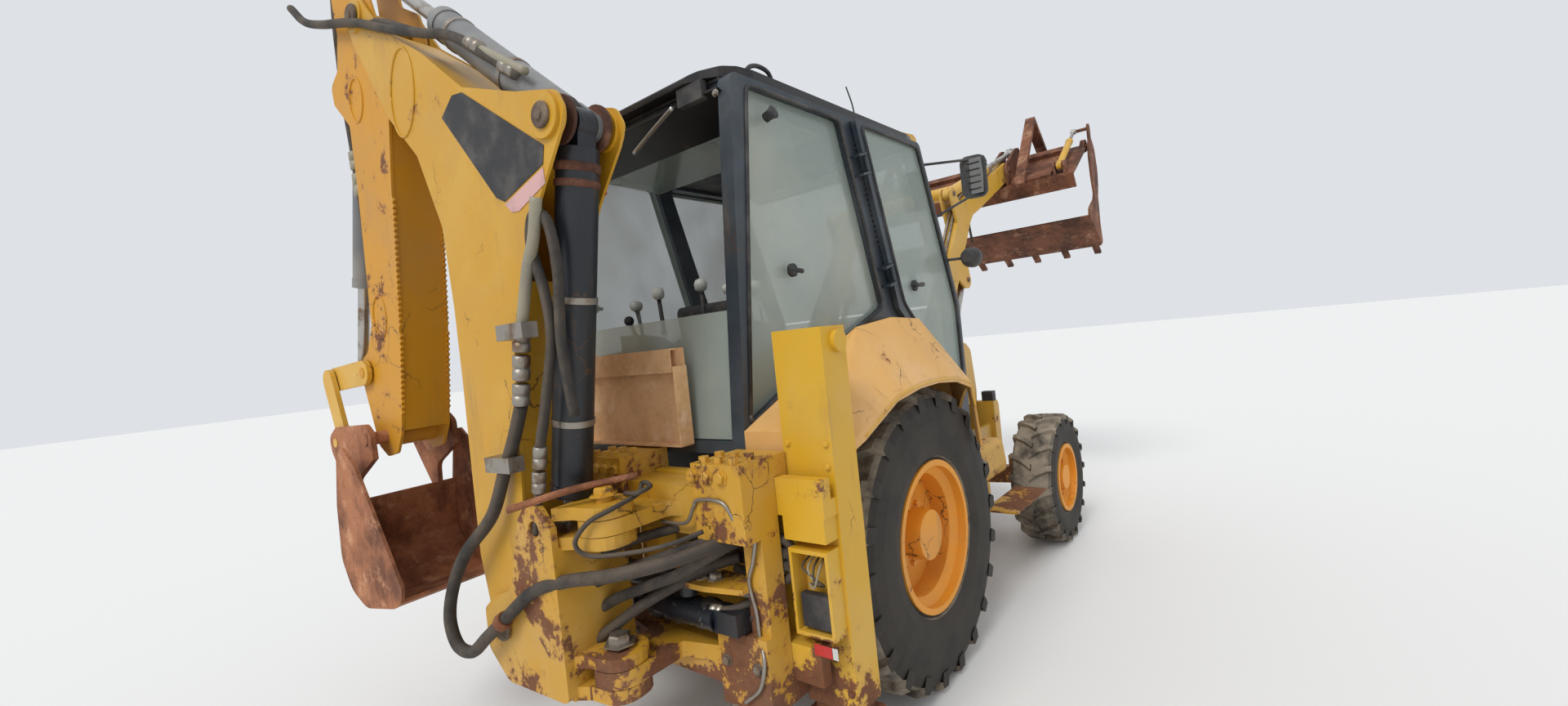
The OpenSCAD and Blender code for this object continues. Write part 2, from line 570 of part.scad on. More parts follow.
module stabilizer(side) color(yellow) mirror([0, side < 0 ? 1 : 0, 0]) {
    g = leg_wall + 4;
    difference() {
        union() {
            box([leg_x + g, leg_y - leg_w + g, 360], [leg_x + leg_d - g, leg_y - g, leg_top - leg_wall - 20]);
            box([leg_x - 10, leg_y - leg_w - 10, 325], [leg_x + leg_d + 10, leg_y + 10, 361]);
        }
        box([leg_x + g + 12, leg_y - leg_w + g + 12, 420], [leg_x + leg_d - g - 12, leg_y - g - 12, leg_top]);
    }
}

// Rusty sheet guard standing behind the back window
module sheet_guard() color("tan") {
    box([-971, -470, 1340], [-964, 250, 1750]);
    box([-1035, -476, 1345], [-964, -469, 1675]);
    box([-1010, -430, 1743], [-964, 250, 1750]);
    box([-1010, -430, 1650], [-1003, 250, 1750]);
    box([-1030, -470, 1340], [-964, 250, 1347]);
    for (y = [-400, 160]) box([-964, y, 1340], [-952, y + 50, 1352]);
}

// Loader arms
module arm_frame() translate([arm_x, 0, arm_z]) rotate([0, -arm_rest, 0]) children();
arm_side = [[-90, 20], [-60, 90], [40, 105], [1130, 378], [1230, 378], [1350, 344], [2235, 70], [2320, 52],
    [2344, -25], [2270, -78], [2160, -64], [1400, 150], [1260, 196], [1150, 190], [420, -5], [60, -90], [-40, -80]];
module loader_arms() color(yellow) {
    difference() {
        union() {
            both() arm_frame() pin([1073, 515], arm_y - 50, 100, 40);
            both() arm_frame() {
                plate(rounded(arm_side, [40, 40, 40, 80, 80, 80, 30, 40, 40, 30, 60, 80, 60, 60, 80, 40, 40]),
                    arm_y - arm_w / 2, arm_w);
                // lugs of the lift cylinder
                for (y = [arm_y - 50, arm_y + 32]) plate(rounded([[600, 100], [660, -70], [720, -120], [790, -110],
                    [900, 170]], [0, 30, 40, 40, 0]), y, 18);
                // lugs of the tilt cylinder
                for (y = [arm_y - 50, arm_y + 32]) plate(rounded([[940, 310], [1005, 500], [1050, 570], [1095, 565],
                    [1118, 520], [1110, 450], [1130, 395], [1200, 350]], [0, 30, 20, 20, 10, 20, 20, 0]), y, 18);
            }
            arm_frame() translate([1900, 0, 100]) rotate([90, 0, 0]) cylinder(d = 120, h = 2 * (arm_y - 40), center = true);
        }
        both() arm_frame() pin([0, 0], arm_y - 60, 120, 71);
        both() pin(H, arm_y - 60, 120, 61);
    }
}
function in_arm(p) = A + [p[0] * cos(arm_rest) - p[1] * sin(arm_rest), p[0] * sin(arm_rest) + p[1] * cos(arm_rest)];

// A cylinder drawn along +X: barrel with a foot eye at the origin, gland at its end
module barrel(len, d, eye_w, bore, from) {
    difference() {
        union() {
            rotate([90, 0, 0]) cylinder(d = bore * 1.9, h = eye_w, center = true);
            translate([0, -eye_w / 2, -bore * 0.8]) cube([from + 10, eye_w, bore * 1.6]);
            translate([from, 0, 0]) rotate([0, 90, 0]) cylinder(d = d, h = len - from);
            translate([len - 45, 0, 0]) rotate([0, 90, 0]) cylinder(d = d + 6, h = 45);
        }
        rotate([90, 0, 0]) cylinder(d = bore, h = 2 * d, center = true);
        translate([from + 15, 0, 0]) rotate([0, 90, 0]) cylinder(d = d - 22, h = len);
    }
}
// The rod from inside the barrel out to its eye at length len, with the cross pin it carries
module piston_rod(from, len, d, eye_d, eye_w, pin_w) {
    translate([from, 0, 0]) rotate([0, 90, 0]) cylinder(d = d, h = len - from);
    translate([from, 0, 0]) rotate([0, 90, 0]) cylinder(d = d * 1.1, h = 30);
    translate([len, 0, 0]) rotate([90, 0, 0]) cylinder(d = eye_d, h = eye_w, center = true);
    translate([len, 0, 0]) rotate([90, 0, 0]) cylinder(d = eye_d * 0.5, h = pin_w, center = true);
}
module at_arm_cyl(p, q) for (s = [-1, 1]) translate([0, s * arm_y, 0]) aim(p, angle_to(p, q)) children();
lift_d = 90;
module lift_barrels() color(yellow) at_arm_cyl(lift_foot, in_arm(lift_eye)) barrel(860, lift_d, 56, 42, 70);
module lift_rods() color(steel) at_arm_cyl(lift_foot, in_arm(lift_eye))
    piston_rod(674, norm(in_arm(lift_eye) - lift_foot), 54, 90, 52, 52);
tilt_d = 86;
module tilt_barrels() color(yellow) at_arm_cyl(tilt_base, U) barrel(870, tilt_d, 52, 42, 70);
module tilt_rods() color(steel) at_arm_cyl(tilt_base, U) piston_rod(836, norm(U - tilt_base), 50, 84, 52, 100);

// Loader bucket, drawn level from its pivot and then dumped
module level_bucket() translate([H[0], 0, H[1]]) rotate([0, dump_rest, 0]) children();
board = [[100, -150], [240, -150], [240, -134], [124, -134], [150, 100], [175, 360], [215, 610], [195, 620], [140, 380], [118, 100]];
module loader_bucket() color(rust) level_bucket() difference() {
    union() {
        plate(board, -bucket_w / 2 + 30, bucket_w - 60);
        // back beam and top beam between and outside the arms
        for (y = [[-430, 430], [620, bucket_w / 2 - 205], [205 - bucket_w / 2, -620]]) {
            box([78, y[0], -140], [125, y[1], -40]);
            box([100, y[0], 380], [160, y[1], 470]);
        }
        both() {
            for (y = [arm_y - arm_w / 2 - 28, arm_y + arm_w / 2 + 6]) plate(rounded([[125, -130], [-30, -70], [-70, 0],
                [-60, 60], [-45, 360], [-10, 430], [40, 430], [146, 300]], [0, 40, 30, 30, 40, 40, 40, 0]), y, 22);
            for (y = [-81, -58]) plate(rounded([[155, 440], [130, 580], [165, 620], [215, 620], [245, 580], [215, 470]], 20),
                bucket_w / 2 + y, 18);
            for (y = [clam_cyl_y - 50, clam_cyl_y + 32]) plate(rounded([[112, -145], [20, -130], [0, -90], [20, -50],
                [112, -30]], [0, 20, 30, 20, 0]), y, 18);
            pin(clam_cyl_base, clam_cyl_y - 48, 96, 30);
            // fork hinge brackets on the top edge
            for (y = [650, 772]) plate(rounded([[165, 560], [190, 700], [250, 740], [300, 690], [205, 560]], [0, 30, 40, 30, 0]), y, 18);
        }
        both() pin([0, 0], arm_y - arm_w / 2 - 40, arm_w + 80, 60);
    }
    both() pin([0, ear_up], arm_y - 100, 200, 40);
    both() pin(clam_pin, bucket_w / 2 - 100, 80, 41);
    both() pin(fork_hinge, 640, 160, 41);
}
module open_clam() level_bucket() translate([clam_pin[0], 0, clam_pin[1]]) rotate([0, -clam_rest, 0]) children();
module bucket_clam() color(rust) {
    open_clam() {
        // side plates, curved floor and toothed lip
        both() plate(rounded([[-60, 30], [0, 80], [120, 60], [260, -80], [320, -230], [330, -340], [450, -560], [560, -680],
            [550, -735], [90, -735], [70, -660], [190, -480], [200, -400], [90, -300], [-20, -150], [-55, -60]],
            [30, 60, 80, 60, 80, 60, 60, 20, 20, 40, 40, 60, 40, 80, 60, 40]), bucket_w / 2 - bucket_t, bucket_t);
        plate([[95, -715], [90, -735], [550, -735], [590, -715]], -bucket_w / 2 + bucket_t - 1, bucket_w - 2 * bucket_t + 2);
        for (i = [-4:4]) translate([585, i * (bucket_w - 130) / 8, -725]) rotate([0, 4, 0]) translate([-60, -28, -14])
            cube([150, 56, 28]);
        both() pin([0, 0], bucket_w / 2 - 88, 80, 40);
    }
    // levers and pins for the clam cylinders, over the board's top edge
    level_bucket() both() {
        plate(link_outline(clam_pin, clam_cyl_eye, 42), bucket_w / 2 - bucket_t, bucket_t);
        pin(clam_cyl_eye, clam_cyl_y + 26, bucket_w / 2 - clam_cyl_y - 30, 30);
    }
}
clam_cyl_y = bucket_w / 2 - 135;
clam_cyl_base = [40, -90];
clam_cyl_eye = [60, 640];
module at_clam_cyl() level_bucket() for (s = [-1, 1]) translate([0, s * clam_cyl_y, 0])
    aim(clam_cyl_base, angle_to(clam_cyl_base, clam_cyl_eye)) children();
module clam_barrels() color(yellow) at_clam_cyl() barrel(520, 56, 40, 32, 45);
module clam_rods() color(steel) at_clam_cyl() piston_rod(400, norm(clam_cyl_eye - clam_cyl_base), 30, 50, 40, 40);

fork_hinge = [250, 690];
fork_bend = [-350, 283];
fork_tip = [-873, -387];
module forks() color(rust) level_bucket() for (s = [-1, 1]) translate([fork_hinge[0], s * 720, fork_hinge[1]])
    rotate([0, -dump_rest, 0]) {
        bar([0, 0, 0], [fork_bend[0], 0, fork_bend[1]], 90, 40);
        bar([fork_bend[0] + 14, 0, fork_bend[1] + 22], [fork_tip[0], 0, fork_tip[1]], 84, 34);
        rotate([90, 0, 0]) cylinder(d = 76, h = 96, center = true);
        rotate([90, 0, 0]) cylinder(d = 40, h = 150, center = true);
    }

// Backhoe, drawn along +X from the swing pivot, with the boom's plane at y = 0
module swing_frame() translate([-king_back, -king_right, 0]) rotate([0, 0, 90 + swing_rest]) children();

arm_gap = 3;
car_face = -rail_back - slide_gap;
// Carriage: clamps on both rails, two columns, upper and lower pivot arms
upper_arm = [1120, 1175];
lower_arm = [580, 640];
module carriage() color(yellow) translate([0, -king_right, 0]) difference() {
    union() {
        // upper clamps hook over the rail, lower clamps under it
        for (y = [[-500, -260], [160, 400]]) {
            box([-1225, y[0], upper_z + rail_h + slide_gap], [leg_x - 6, y[1], upper_z + rail_h + 80]);
            box([-rail_back + 48 + slide_gap, y[0], upper_z + rail_web + slide_gap + 4], [leg_x - 6, y[1], upper_z + rail_h + 3]);
            box([-1225, y[0], upper_z - 60], [car_face, y[1], upper_z + rail_h + 80]);
            box([-1180, y[0], lower_z - 80], [leg_x - 6, y[1], lower_z - slide_gap]);
            box([-rail_back + 48 + slide_gap, y[0], lower_z - 10], [leg_x - 6, y[1], lower_z + rail_h - rail_web - slide_gap - 4]);
            box([-1180, y[0], lower_z - 80], [car_face, y[1], lower_z + rail_h + 60]);
            // bolt heads of the clamps
            for (x = [-1200, -1120], k = [0.2, 0.5, 0.8]) translate([x, y[0] + k * 240, upper_z + rail_h + 80])
                cylinder(d = 40, h = 22, $fn = 6);
        }
        // beams and columns
        box([-1200, -500, upper_z - 60], [car_face, 400, upper_z + 120]);
        box([-1180, -500, lower_z - 10], [car_face, 400, lower_z + 110]);
        for (y = [-500, 310]) box([-1150, y, lower_z], [car_face, y + 90, upper_z + 10]);
        // pivot arms
        for (z = [upper_arm, lower_arm]) translate([0, 0, z[0]]) linear_extrude(z[1] - z[0]) {
            polygon(rounded([[-1150, -360], [-1215, -100], [-king_back, -100], [-king_back, 100], [-1215, 100], [-1150, 360]],
                [0, 20, 0, 0, 20, 0]));
            translate([-king_back, 0]) circle(r = 100);
        }
    }
    translate([-king_back, 0, 400]) cylinder(d = 70, h = 1000);
}

// Each swing cylinder lies across the machine, bolted to one column
module swing_cylinders() color(black) translate([-1200, -king_right, 0]) {
    for (s = [-1, 1]) mirror([0, s < 0 ? 1 : 0, 0]) translate([0, 0, s < 0 ? 760 : 860]) {
        rod([0, 295, 0], [0, -60, 0], 90);
        rod([0, -50, 0], [0, -170, 0], 46);
        rod([0, -150, -35], [0, -150, 35], 70);
        box([-25, 285, -40], [50, s < 0 ? 410 : 400, 40]);
    }
}

// Kingpost: lugs over and under both arms, a post, and the boom's clevis
module kingpost() color(yellow) swing_frame() {
    difference() {
        union() {
            for (z = [[upper_arm[1] + arm_gap, 46], [upper_arm[0] - arm_gap - 45, 45], [lower_arm[1] + arm_gap, 45],
                [lower_arm[0] - arm_gap - 50, 50]]) translate([0, 0, z[0]]) linear_extrude(z[1])
                polygon(rounded([[-95, -90], [60, -100], [128, -135], [128, 135], [60, 100], [-95, 90]], [80, 30, 0, 0, 30, 80]));
            for (y = [-162, 136]) plate(rounded([[105, 530], [480, 530], [600, 640], [600, 800], [520, 860], [400, 900],
                [300, 1180], [250, 1235], [170, 1235], [105, 1160]], [30, 60, 60, 40, 40, 80, 40, 50, 40, 20]), y, 26);
            box([105, -137, 530], [130, 137, 1085]);
            box([130, -137, 530], [310, 137, 556]);
            box([100, -100, upper_arm[1] + arm_gap], [131, 100, 1200]);
        }
        pin(king_cyl, -170, 340, 61);
    }
    translate([0, 0, lower_arm[0] - 60]) cylinder(d = 62, h = 120);
    translate([0, 0, upper_arm[0] - 55]) cylinder(d = 62, h = upper_arm[1] - upper_arm[0] + 125);
    pin(king_boom, -172, 344, 70);
}

boom_side = [[380, 700], [420, 650], [540, 650], [600, 720], [650, 1000], [645, 1300], [635, 1700], [635, 2000],
    [655, 2330], [790, 2650], [1000, 2870], [1250, 3280], [1290, 3380], [1250, 3460], [1150, 3450], [985, 3245],
    [670, 3035], [400, 2810], [70, 2690], [-60, 2655], [-150, 2630], [-185, 2560], [-150, 2490], [-30, 2340],
    [80, 2185], [160, 2040], [210, 1930], [255, 1770], [300, 1300], [340, 900]];
module boom() color(yellow) swing_frame() {
    difference() {
        union() {
            for (y = [-boom_w / 2, boom_w / 2 - plate_t]) plate(rounded(boom_side, 40), y, plate_t);
            // closing plates along the edges
            closing([for (i = [5:10]) boom_side[i]], 4, 16, boom_w - 2 * plate_t + 4);
            closing([for (i = [15:17]) boom_side[i]], 4, 16, boom_w - 2 * plate_t + 4);
            closing([for (i = [25:29]) boom_side[i]], 4, 16, boom_w - 2 * plate_t + 4);
            pin(king_boom, -129, 258, 120);
            for (y = [-boom_w / 2 - 14, boom_w / 2 - plate_t - 16]) pin(ear, y, plate_t + 30, 150);
            for (y = [-boom_w / 2 - 10, boom_w / 2 - plate_t]) pin(nose, y + 1, plate_t + 8, 140);
        }
        pin(king_boom, -170, 340, 71);
    }
    pin(ear, -146, 292, 60);
    pin(nose, -142, 284, 70);
}
module boom_barrel() color(black) swing_frame() aim(ear, angle_to(ear, king_cyl)) barrel(1345, boom_cyl_d, 76, 61, 82);
module boom_rod() color(steel) swing_frame() aim(ear, angle_to(ear, king_cyl))
    piston_rod(200, norm(king_cyl - ear), rod_d, 104, 90, 258);

stick_side = [[1100, 3440], [1060, 3330], [1030, 2930], [1090, 2590], [1170, 1980], [1262, 1500], [1330, 1395],
    [1430, 1378], [1515, 1430], [1615, 1750], [1600, 1850], [1520, 1890], [1450, 2010], [1425, 2630], [1430, 2960],
    [1570, 3100], [1580, 3190], [1490, 3240], [1450, 3400], [1490, 3740], [1460, 3870], [1350, 3870], [1315, 3800],
    [1250, 3530]];
module stick() color(yellow) swing_frame() {
    difference() {
        union() {
            for (y = [-stick_w / 2, stick_w / 2 - plate_t]) plate(rounded(stick_side, 40), y, plate_t);
            closing([for (i = [2:5]) stick_side[i]], 4, 16, stick_w - 2 * plate_t + 4);
            closing([for (i = [12, 13]) stick_side[i]], 4, 16, stick_w - 2 * plate_t + 4);
            pin(hoe_pin, -stick_w / 2 + 1, stick_w - 2, 104);
            // saw teeth along the edges that face the boom
            for (y = [-stick_w / 2, stick_w / 2 - plate_t], part = [[[1095, 2550], [1174, 1975]], [[1174, 1950], [1250, 1575]]]) {
                n = floor(norm(part[1] - part[0]) / 25);
                u = (part[1] - part[0]) / n;
                side = [u[1], -u[0]] / norm(u);
                plate(concat([for (i = [0:n - 1]) each [part[0] + u * i, part[0] + u * (i + 0.5) + side * 15]],
                    [part[1], part[1] - side * 12, part[0] - side * 12]), y, plate_t);
            }
        }
        pin(nose, -170, 340, 71);
        pin(tail, -170, 340, 61);
        pin(hoe_pin, -170, 340, 61);
    }
    pin(lever_pin, -143, 286, 50);
    pin(hoe_base, -stick_w / 2 + 1, stick_w - 2, 40);
}
// The stick cylinder's forked foot straddles the boom cylinder's eye
module stick_barrel() color("dimgray") swing_frame() aim(ear, angle_to(ear, tail)) difference() {
    union() {
        for (y = [-67, 46]) translate([0, y, 0]) {
            translate([0, 0, -52]) cube([110, 21, 104]);
            translate([0, 21, 0]) rotate([90, 0, 0]) cylinder(d = 104, h = 21);
        }
        translate([90, 0, 0]) rotate([0, 90, 0]) cylinder(d = stick_cyl_d, h = 920);
        translate([965, 0, 0]) rotate([0, 90, 0]) cylinder(d = stick_cyl_d + 10, h = 45);
    }
    rotate([90, 0, 0]) cylinder(d = 61, h = 200, center = true);
    translate([115, 0, 0]) rotate([0, 90, 0]) cylinder(d = stick_cyl_d - 22, h = 1000);
}
module stick_rod() color(steel) swing_frame() aim(ear, angle_to(ear, tail))
    piston_rod(870, norm(tail - ear), rod_d - 5, 104, 90, 182);

lever_end = lever_pin + hoe_ear;
module hoe_barrel() color("dimgray") swing_frame() aim(hoe_base, angle_to(hoe_base, lever_end))
    barrel(950, hoe_cyl_d, 80, 41, 60);
module hoe_rod() color(steel) swing_frame() aim(hoe_base, angle_to(hoe_base, lever_end))
    piston_rod(492, norm(lever_end - hoe_base), 55, 90, 80, 222);
function link_outline(p, q, r) = let (u = unit(q - p), n = [-u[1], u[0]]) concat(
    [for (a = [90:30:270]) p + r * (u * cos(a) + n * sin(a))], [for (a = [-90:30:90]) q + r * (u * cos(a) + n * sin(a))]);
module hoe_lever() color(yellow) swing_frame() difference() {
    for (y = [-140, 118]) plate(link_outline(lever_pin, lever_end, 60), y, 22);
    pin(lever_pin, -170, 340, 51);
    pin(lever_end, -170, 340, 46);
}
// The link carries the pin at its lever end as two stubs, and the pin at the bucket's ears
hoe_link_pin = hoe_pin + hoe_ear;
module hoe_link() color(yellow) swing_frame() {
    for (y = [-168, 146]) plate(link_outline(lever_end, hoe_link_pin, 55), y, 22);
    for (y = [-147, 117]) pin(lever_end, y, 30, 45);
    for (y = [-203, 146]) pin(hoe_link_pin, y, 57, 45);
}
hoe_side = [[-60, -110], [-100, -165], [-398, -620], [-375, -686], [-300, -720], [-20, -762], [120, -700],
    [205, -560], [190, -300], [130, -60], [60, -20]];
module hoe_bucket() color(rust) swing_frame() translate([hoe_pin[0], 0, hoe_pin[1]]) {
    difference() {
        union() {
            for (y = [-hoe_w / 2, hoe_w / 2 - 14]) plate(rounded(hoe_side, [20, 20, 20, 20, 60, 140, 120, 120, 60, 40, 20]), y, 14);
            closing([for (i = [3:8]) hoe_side[i]], 2, 16, hoe_w - 24);
            for (y = [-200, 176]) plate(rounded([[-60, -90], [-55, 30], [0, 70], [330, 60], [425, 10], [405, -70], [212, -330],
                [204, -460], [170, -460], [150, -200]], [0, 40, 50, 50, 50, 40, 0, 0, 0, 60]), y, 24);
        }
        pin([0, 0], -300, 600, 60);
        pin(hoe_ear, -300, 600, 46);
    }
    pin([0, 0], -205, 410, 60);
}

place() main_frame();
place() engine();
place() axles();
place() hood();
place() cab_frame();
place() cab_roof();
place() cab_windows();
place() operator_station();
place() fenders();
place() side_tanks();
place() exhaust();
place() mirrors();
place() lamps();
place() rear_frame();
place() sheet_guard();
place() door(1);  // door_left
place() door_pane(1);  // door_left_glass
place() door(-1);  // door_right
place() door_pane(-1);  // door_right_glass
place() knuckle(1);  // knuckle_left
place() knuckle(-1);  // knuckle_right
place() front_tyre(1);  // tyre_front_left
place() front_tyre(-1);  // tyre_front_right
place() rear_tyre(1);  // tyre_rear_left
place() rear_tyre(-1);  // tyre_rear_right
place() front_rim(1);  // rim_front_left
place() front_rim(-1);  // rim_front_right
place() rear_rim(1);  // rim_rear_left
place() rear_rim(-1);  // rim_rear_right
place() stabilizer(1);  // stabilizer_left
place() stabilizer(-1);  // stabilizer_right
place() loader_arms();
place() lift_barrels();
place() lift_rods();
place() tilt_barrels();
place() tilt_rods();
place() loader_bucket();
place() bucket_clam();
place() clam_barrels();
place() clam_rods();
place() forks();
place() carriage();
place() swing_cylinders();
place() kingpost();
place() boom();
place() boom_barrel();
place() boom_rod();
place() stick();
place() stick_barrel();
place() stick_rod();
place() hoe_barrel();
place() hoe_rod();
place() hoe_lever();
place() hoe_link();
place() hoe_bucket();
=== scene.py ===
from math import copysign, cos, pi, radians, sin

import bmesh
import bpy
from mathutils import Matrix, Vector, noise


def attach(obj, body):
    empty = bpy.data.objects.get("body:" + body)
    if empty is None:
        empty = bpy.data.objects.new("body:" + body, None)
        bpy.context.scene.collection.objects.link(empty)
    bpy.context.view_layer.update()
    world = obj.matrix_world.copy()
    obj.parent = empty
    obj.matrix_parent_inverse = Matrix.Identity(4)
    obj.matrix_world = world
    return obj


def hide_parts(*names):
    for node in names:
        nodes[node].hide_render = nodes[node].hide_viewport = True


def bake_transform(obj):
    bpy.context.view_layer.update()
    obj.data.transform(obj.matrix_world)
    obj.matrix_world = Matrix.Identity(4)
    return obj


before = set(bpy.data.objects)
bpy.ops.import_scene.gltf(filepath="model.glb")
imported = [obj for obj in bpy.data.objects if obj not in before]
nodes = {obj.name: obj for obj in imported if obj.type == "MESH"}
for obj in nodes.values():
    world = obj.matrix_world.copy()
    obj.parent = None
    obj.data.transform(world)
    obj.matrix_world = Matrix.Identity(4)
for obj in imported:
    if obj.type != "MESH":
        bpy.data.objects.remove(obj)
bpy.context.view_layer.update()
print("frame loaded:", len(nodes), "nodes")

# where the rear axle and the machine's centreline lie in the part's frame, metres
place = {"axleBack": 1.015, "centreRight": 0.145}


def at(x, y, z):
    return Vector((x - place["axleBack"], y - place["centreRight"], z))


# the backhoe's plane: u out along the folded boom, v towards the machine's back, z up
swingAxis = {"back": 1.42, "right": 0.47, "angle": radians(94)}


def hoeAt(u, v, z):
    c, s = cos(swingAxis["angle"]), sin(swingAxis["angle"])
    return at(-swingAxis["back"] + u * c - v * s, -swingAxis["right"] + u * s + v * c, z)


def outward(side):
    # one metre out from the backhoe's middle plane
    return hoeAt(0, side, 0) - hoeAt(0, 0, 0)


def onHand(side, points):
    # the points on one hand of the machine
    return [at(x, side * y, z) for x, y, z in points]


hands = ((1, "left"), (-1, "right"))
cheeks = ((1, "back"), (-1, "front"))

# the camera that took the photograph: metres ahead of the rear axle, degrees, share of the picture's width
camera = {"spot": (-2.711, -2.416, 1.736), "yaw": 38.91, "pitch": -1.2, "roll": -5.97, "focal": 755.3 / 1920,
          "sensor": 36}


def newObject(name, data):
    obj = bpy.data.objects.new(name, data)
    bpy.context.scene.collection.objects.link(obj)
    return obj


def makeCamera():
    yaw, pitch, roll = (radians(camera[k]) for k in ("yaw", "pitch", "roll"))
    look = Vector((cos(yaw) * cos(pitch), sin(yaw) * cos(pitch), sin(pitch)))
    level = Vector((sin(yaw), -cos(yaw), 0))
    lift = level.cross(look)
    right = level * cos(roll) + lift * sin(roll)
    up = lift * cos(roll) - level * sin(roll)
    turn = Matrix((right, up, -look)).transposed().to_4x4()
    data = bpy.data.cameras.new("photoCamera")
    data.sensor_width = camera["sensor"]
    data.sensor_fit = "HORIZONTAL"
    data.lens = camera["sensor"] * camera["focal"]
    data.clip_end = 200
    obj = newObject("photoCamera", data)
    obj.matrix_world = Matrix.Translation(at(*camera["spot"])) @ turn
    bpy.context.scene.camera = obj


makeCamera()
print("camera placed")


def newMaterial(name):
    mat = bpy.data.materials.new(name)
    mat.use_nodes = True
    return mat, mat.node_tree, mat.node_tree.nodes["Principled BSDF"]


def feed(tree, socket, value):
    # links another node's socket or sets a plain value; colours come without their alpha
    if hasattr(value, "links"):
        tree.links.new(value, socket)
    else:
        socket.default_value = (*value, 1) if socket.type == "RGBA" else value


def addNode(tree, kind, **values):
    # in_ values go to the node's sockets, the others to its settings
    node = tree.nodes.new(kind)
    for key, value in values.items():
        if key.startswith("in_"):
            feed(tree, node.inputs[key[3:].replace("_", " ")], value)
        else:
            setattr(node, key, value)
    return node


def ownCoords(tree):
    coords = tree.nodes.get("coords") or addNode(tree, "ShaderNodeTexCoord", name="coords")
    return coords.outputs["Object"]


def noiseOf(tree, scale, detail=6, rough=0.6, stretch=None):
    source = ownCoords(tree)
    if stretch:
        source = addNode(tree, "ShaderNodeMapping", in_Vector=source, in_Scale=stretch).outputs["Vector"]
    cloud = addNode(tree, "ShaderNodeTexNoise", in_Vector=source, in_Scale=scale, in_Detail=detail,
                    in_Roughness=rough)
    return cloud.outputs["Fac"]


def ramp(tree, source, low, high):
    node = addNode(tree, "ShaderNodeMapRange", interpolation_type="SMOOTHSTEP", in_Value=source,
                   in_From_Min=low, in_From_Max=high)
    return node.outputs["Result"]


def rangeOf(tree, source, low, high):
    node = addNode(tree, "ShaderNodeMapRange", in_Value=source, in_To_Min=low, in_To_Max=high)
    return node.outputs["Result"]


def mixColor(tree, factor, a, b):
    node = addNode(tree, "ShaderNodeMix", data_type="RGBA", in_Factor=factor, in_A=a, in_B=b)
    return node.outputs["Result"]


def maths(tree, operation, a, b):
    node = addNode(tree, "ShaderNodeMath", operation=operation, use_clamp=True)
    feed(tree, node.inputs[0], a)
    feed(tree, node.inputs[1], b)
    return node.outputs["Value"]


def times(tree, a, b):
    return maths(tree, "MULTIPLY", a, b)


def edgeWear(tree):
    shape = addNode(tree, "ShaderNodeNewGeometry")
    return ramp(tree, shape.outputs["Pointiness"], 0.515, 0.56)


def cracksOf(tree):
    # thin wandering lines, broken up so that only a few patches show them
    warp = addNode(tree, "ShaderNodeTexNoise", in_Vector=ownCoords(tree), in_Scale=4.0, in_Detail=5)
    moved = addNode(tree, "ShaderNodeMix", data_type="RGBA", blend_type="LINEAR_LIGHT", in_Factor=0.18,
                    in_A=ownCoords(tree), in_B=warp.outputs["Color"])
    cells = addNode(tree, "ShaderNodeTexVoronoi", feature="DISTANCE_TO_EDGE", in_Scale=3.4,
                    in_Vector=moved.outputs["Result"])
    line = ramp(tree, cells.outputs["Distance"], 0.01, 0.004)
    return times(tree, line, ramp(tree, noiseOf(tree, 1.9, 3), 0.55, 0.62))


def heightFade(tree, low, high):
    # 1 below low, 0 above high, in the part's own frame
    split = addNode(tree, "ShaderNodeSeparateXYZ", in_Vector=ownCoords(tree))
    return ramp(tree, split.outputs["Z"], high, low)


def finishOff(made, tone, rough, height, strength, distance):
    mat, tree, shader = made
    bump = addNode(tree, "ShaderNodeBump", in_Height=height, in_Strength=strength, in_Distance=distance)
    feed(tree, shader.inputs["Base Color"], tone)
    feed(tree, shader.inputs["Roughness"], rough)
    feed(tree, shader.inputs["Normal"], bump.outputs["Normal"])
    return mat


# colour, faded colour, level at which chips start, how far rust climbs from below, roughness
paints = {
    "yellow": ((0.62, 0.34, 0.025), (0.66, 0.39, 0.075), 0.72, 0.5, 0.42),
    "fenderYellow": ((0.68, 0.37, 0.1), (0.7, 0.41, 0.16), 0.74, 0.3, 0.5),
    "yellowWorn": ((0.54, 0.28, 0.018), (0.56, 0.32, 0.06), 0.655, 1.2, 0.5),
    "legYellow": ((0.63, 0.355, 0.016), (0.64, 0.38, 0.05), 0.72, 2.3, 0.45),
    "boomYellow": ((0.55, 0.28, 0.01), (0.58, 0.32, 0.03), 0.75, 0.3, 0.4),
    "stickYellow": ((0.58, 0.26, 0.006), (0.54, 0.25, 0.02), 0.685, 0.6, 0.5),
    "rimYellow": ((0.78, 0.31, 0.018), (0.68, 0.29, 0.04), 0.76, 0.2, 0.55),
    "charcoal": ((0.022, 0.032, 0.042), (0.05, 0.066, 0.08), 0.86, 0.0, 0.38),
    "blackGloss": ((0.006, 0.005, 0.006), (0.014, 0.013, 0.013), 0.9, 0.0, 0.3),
    "barrelBlack": ((0.007, 0.01, 0.016), (0.015, 0.018, 0.022), 0.8, 0.0, 0.4),
    "barrelGrey": ((0.15, 0.155, 0.16), (0.24, 0.235, 0.225), 0.76, 0.0, 0.45),
}
# half widths of a chip's edge and of its stain, heights of the rust line, dust on dark and on light paint
wear = {"edge": 0.012, "stain": (0.06, 0.02), "line": (0.3, 1.1), "dust": (0.05, 0.13), "dark": 0.03}


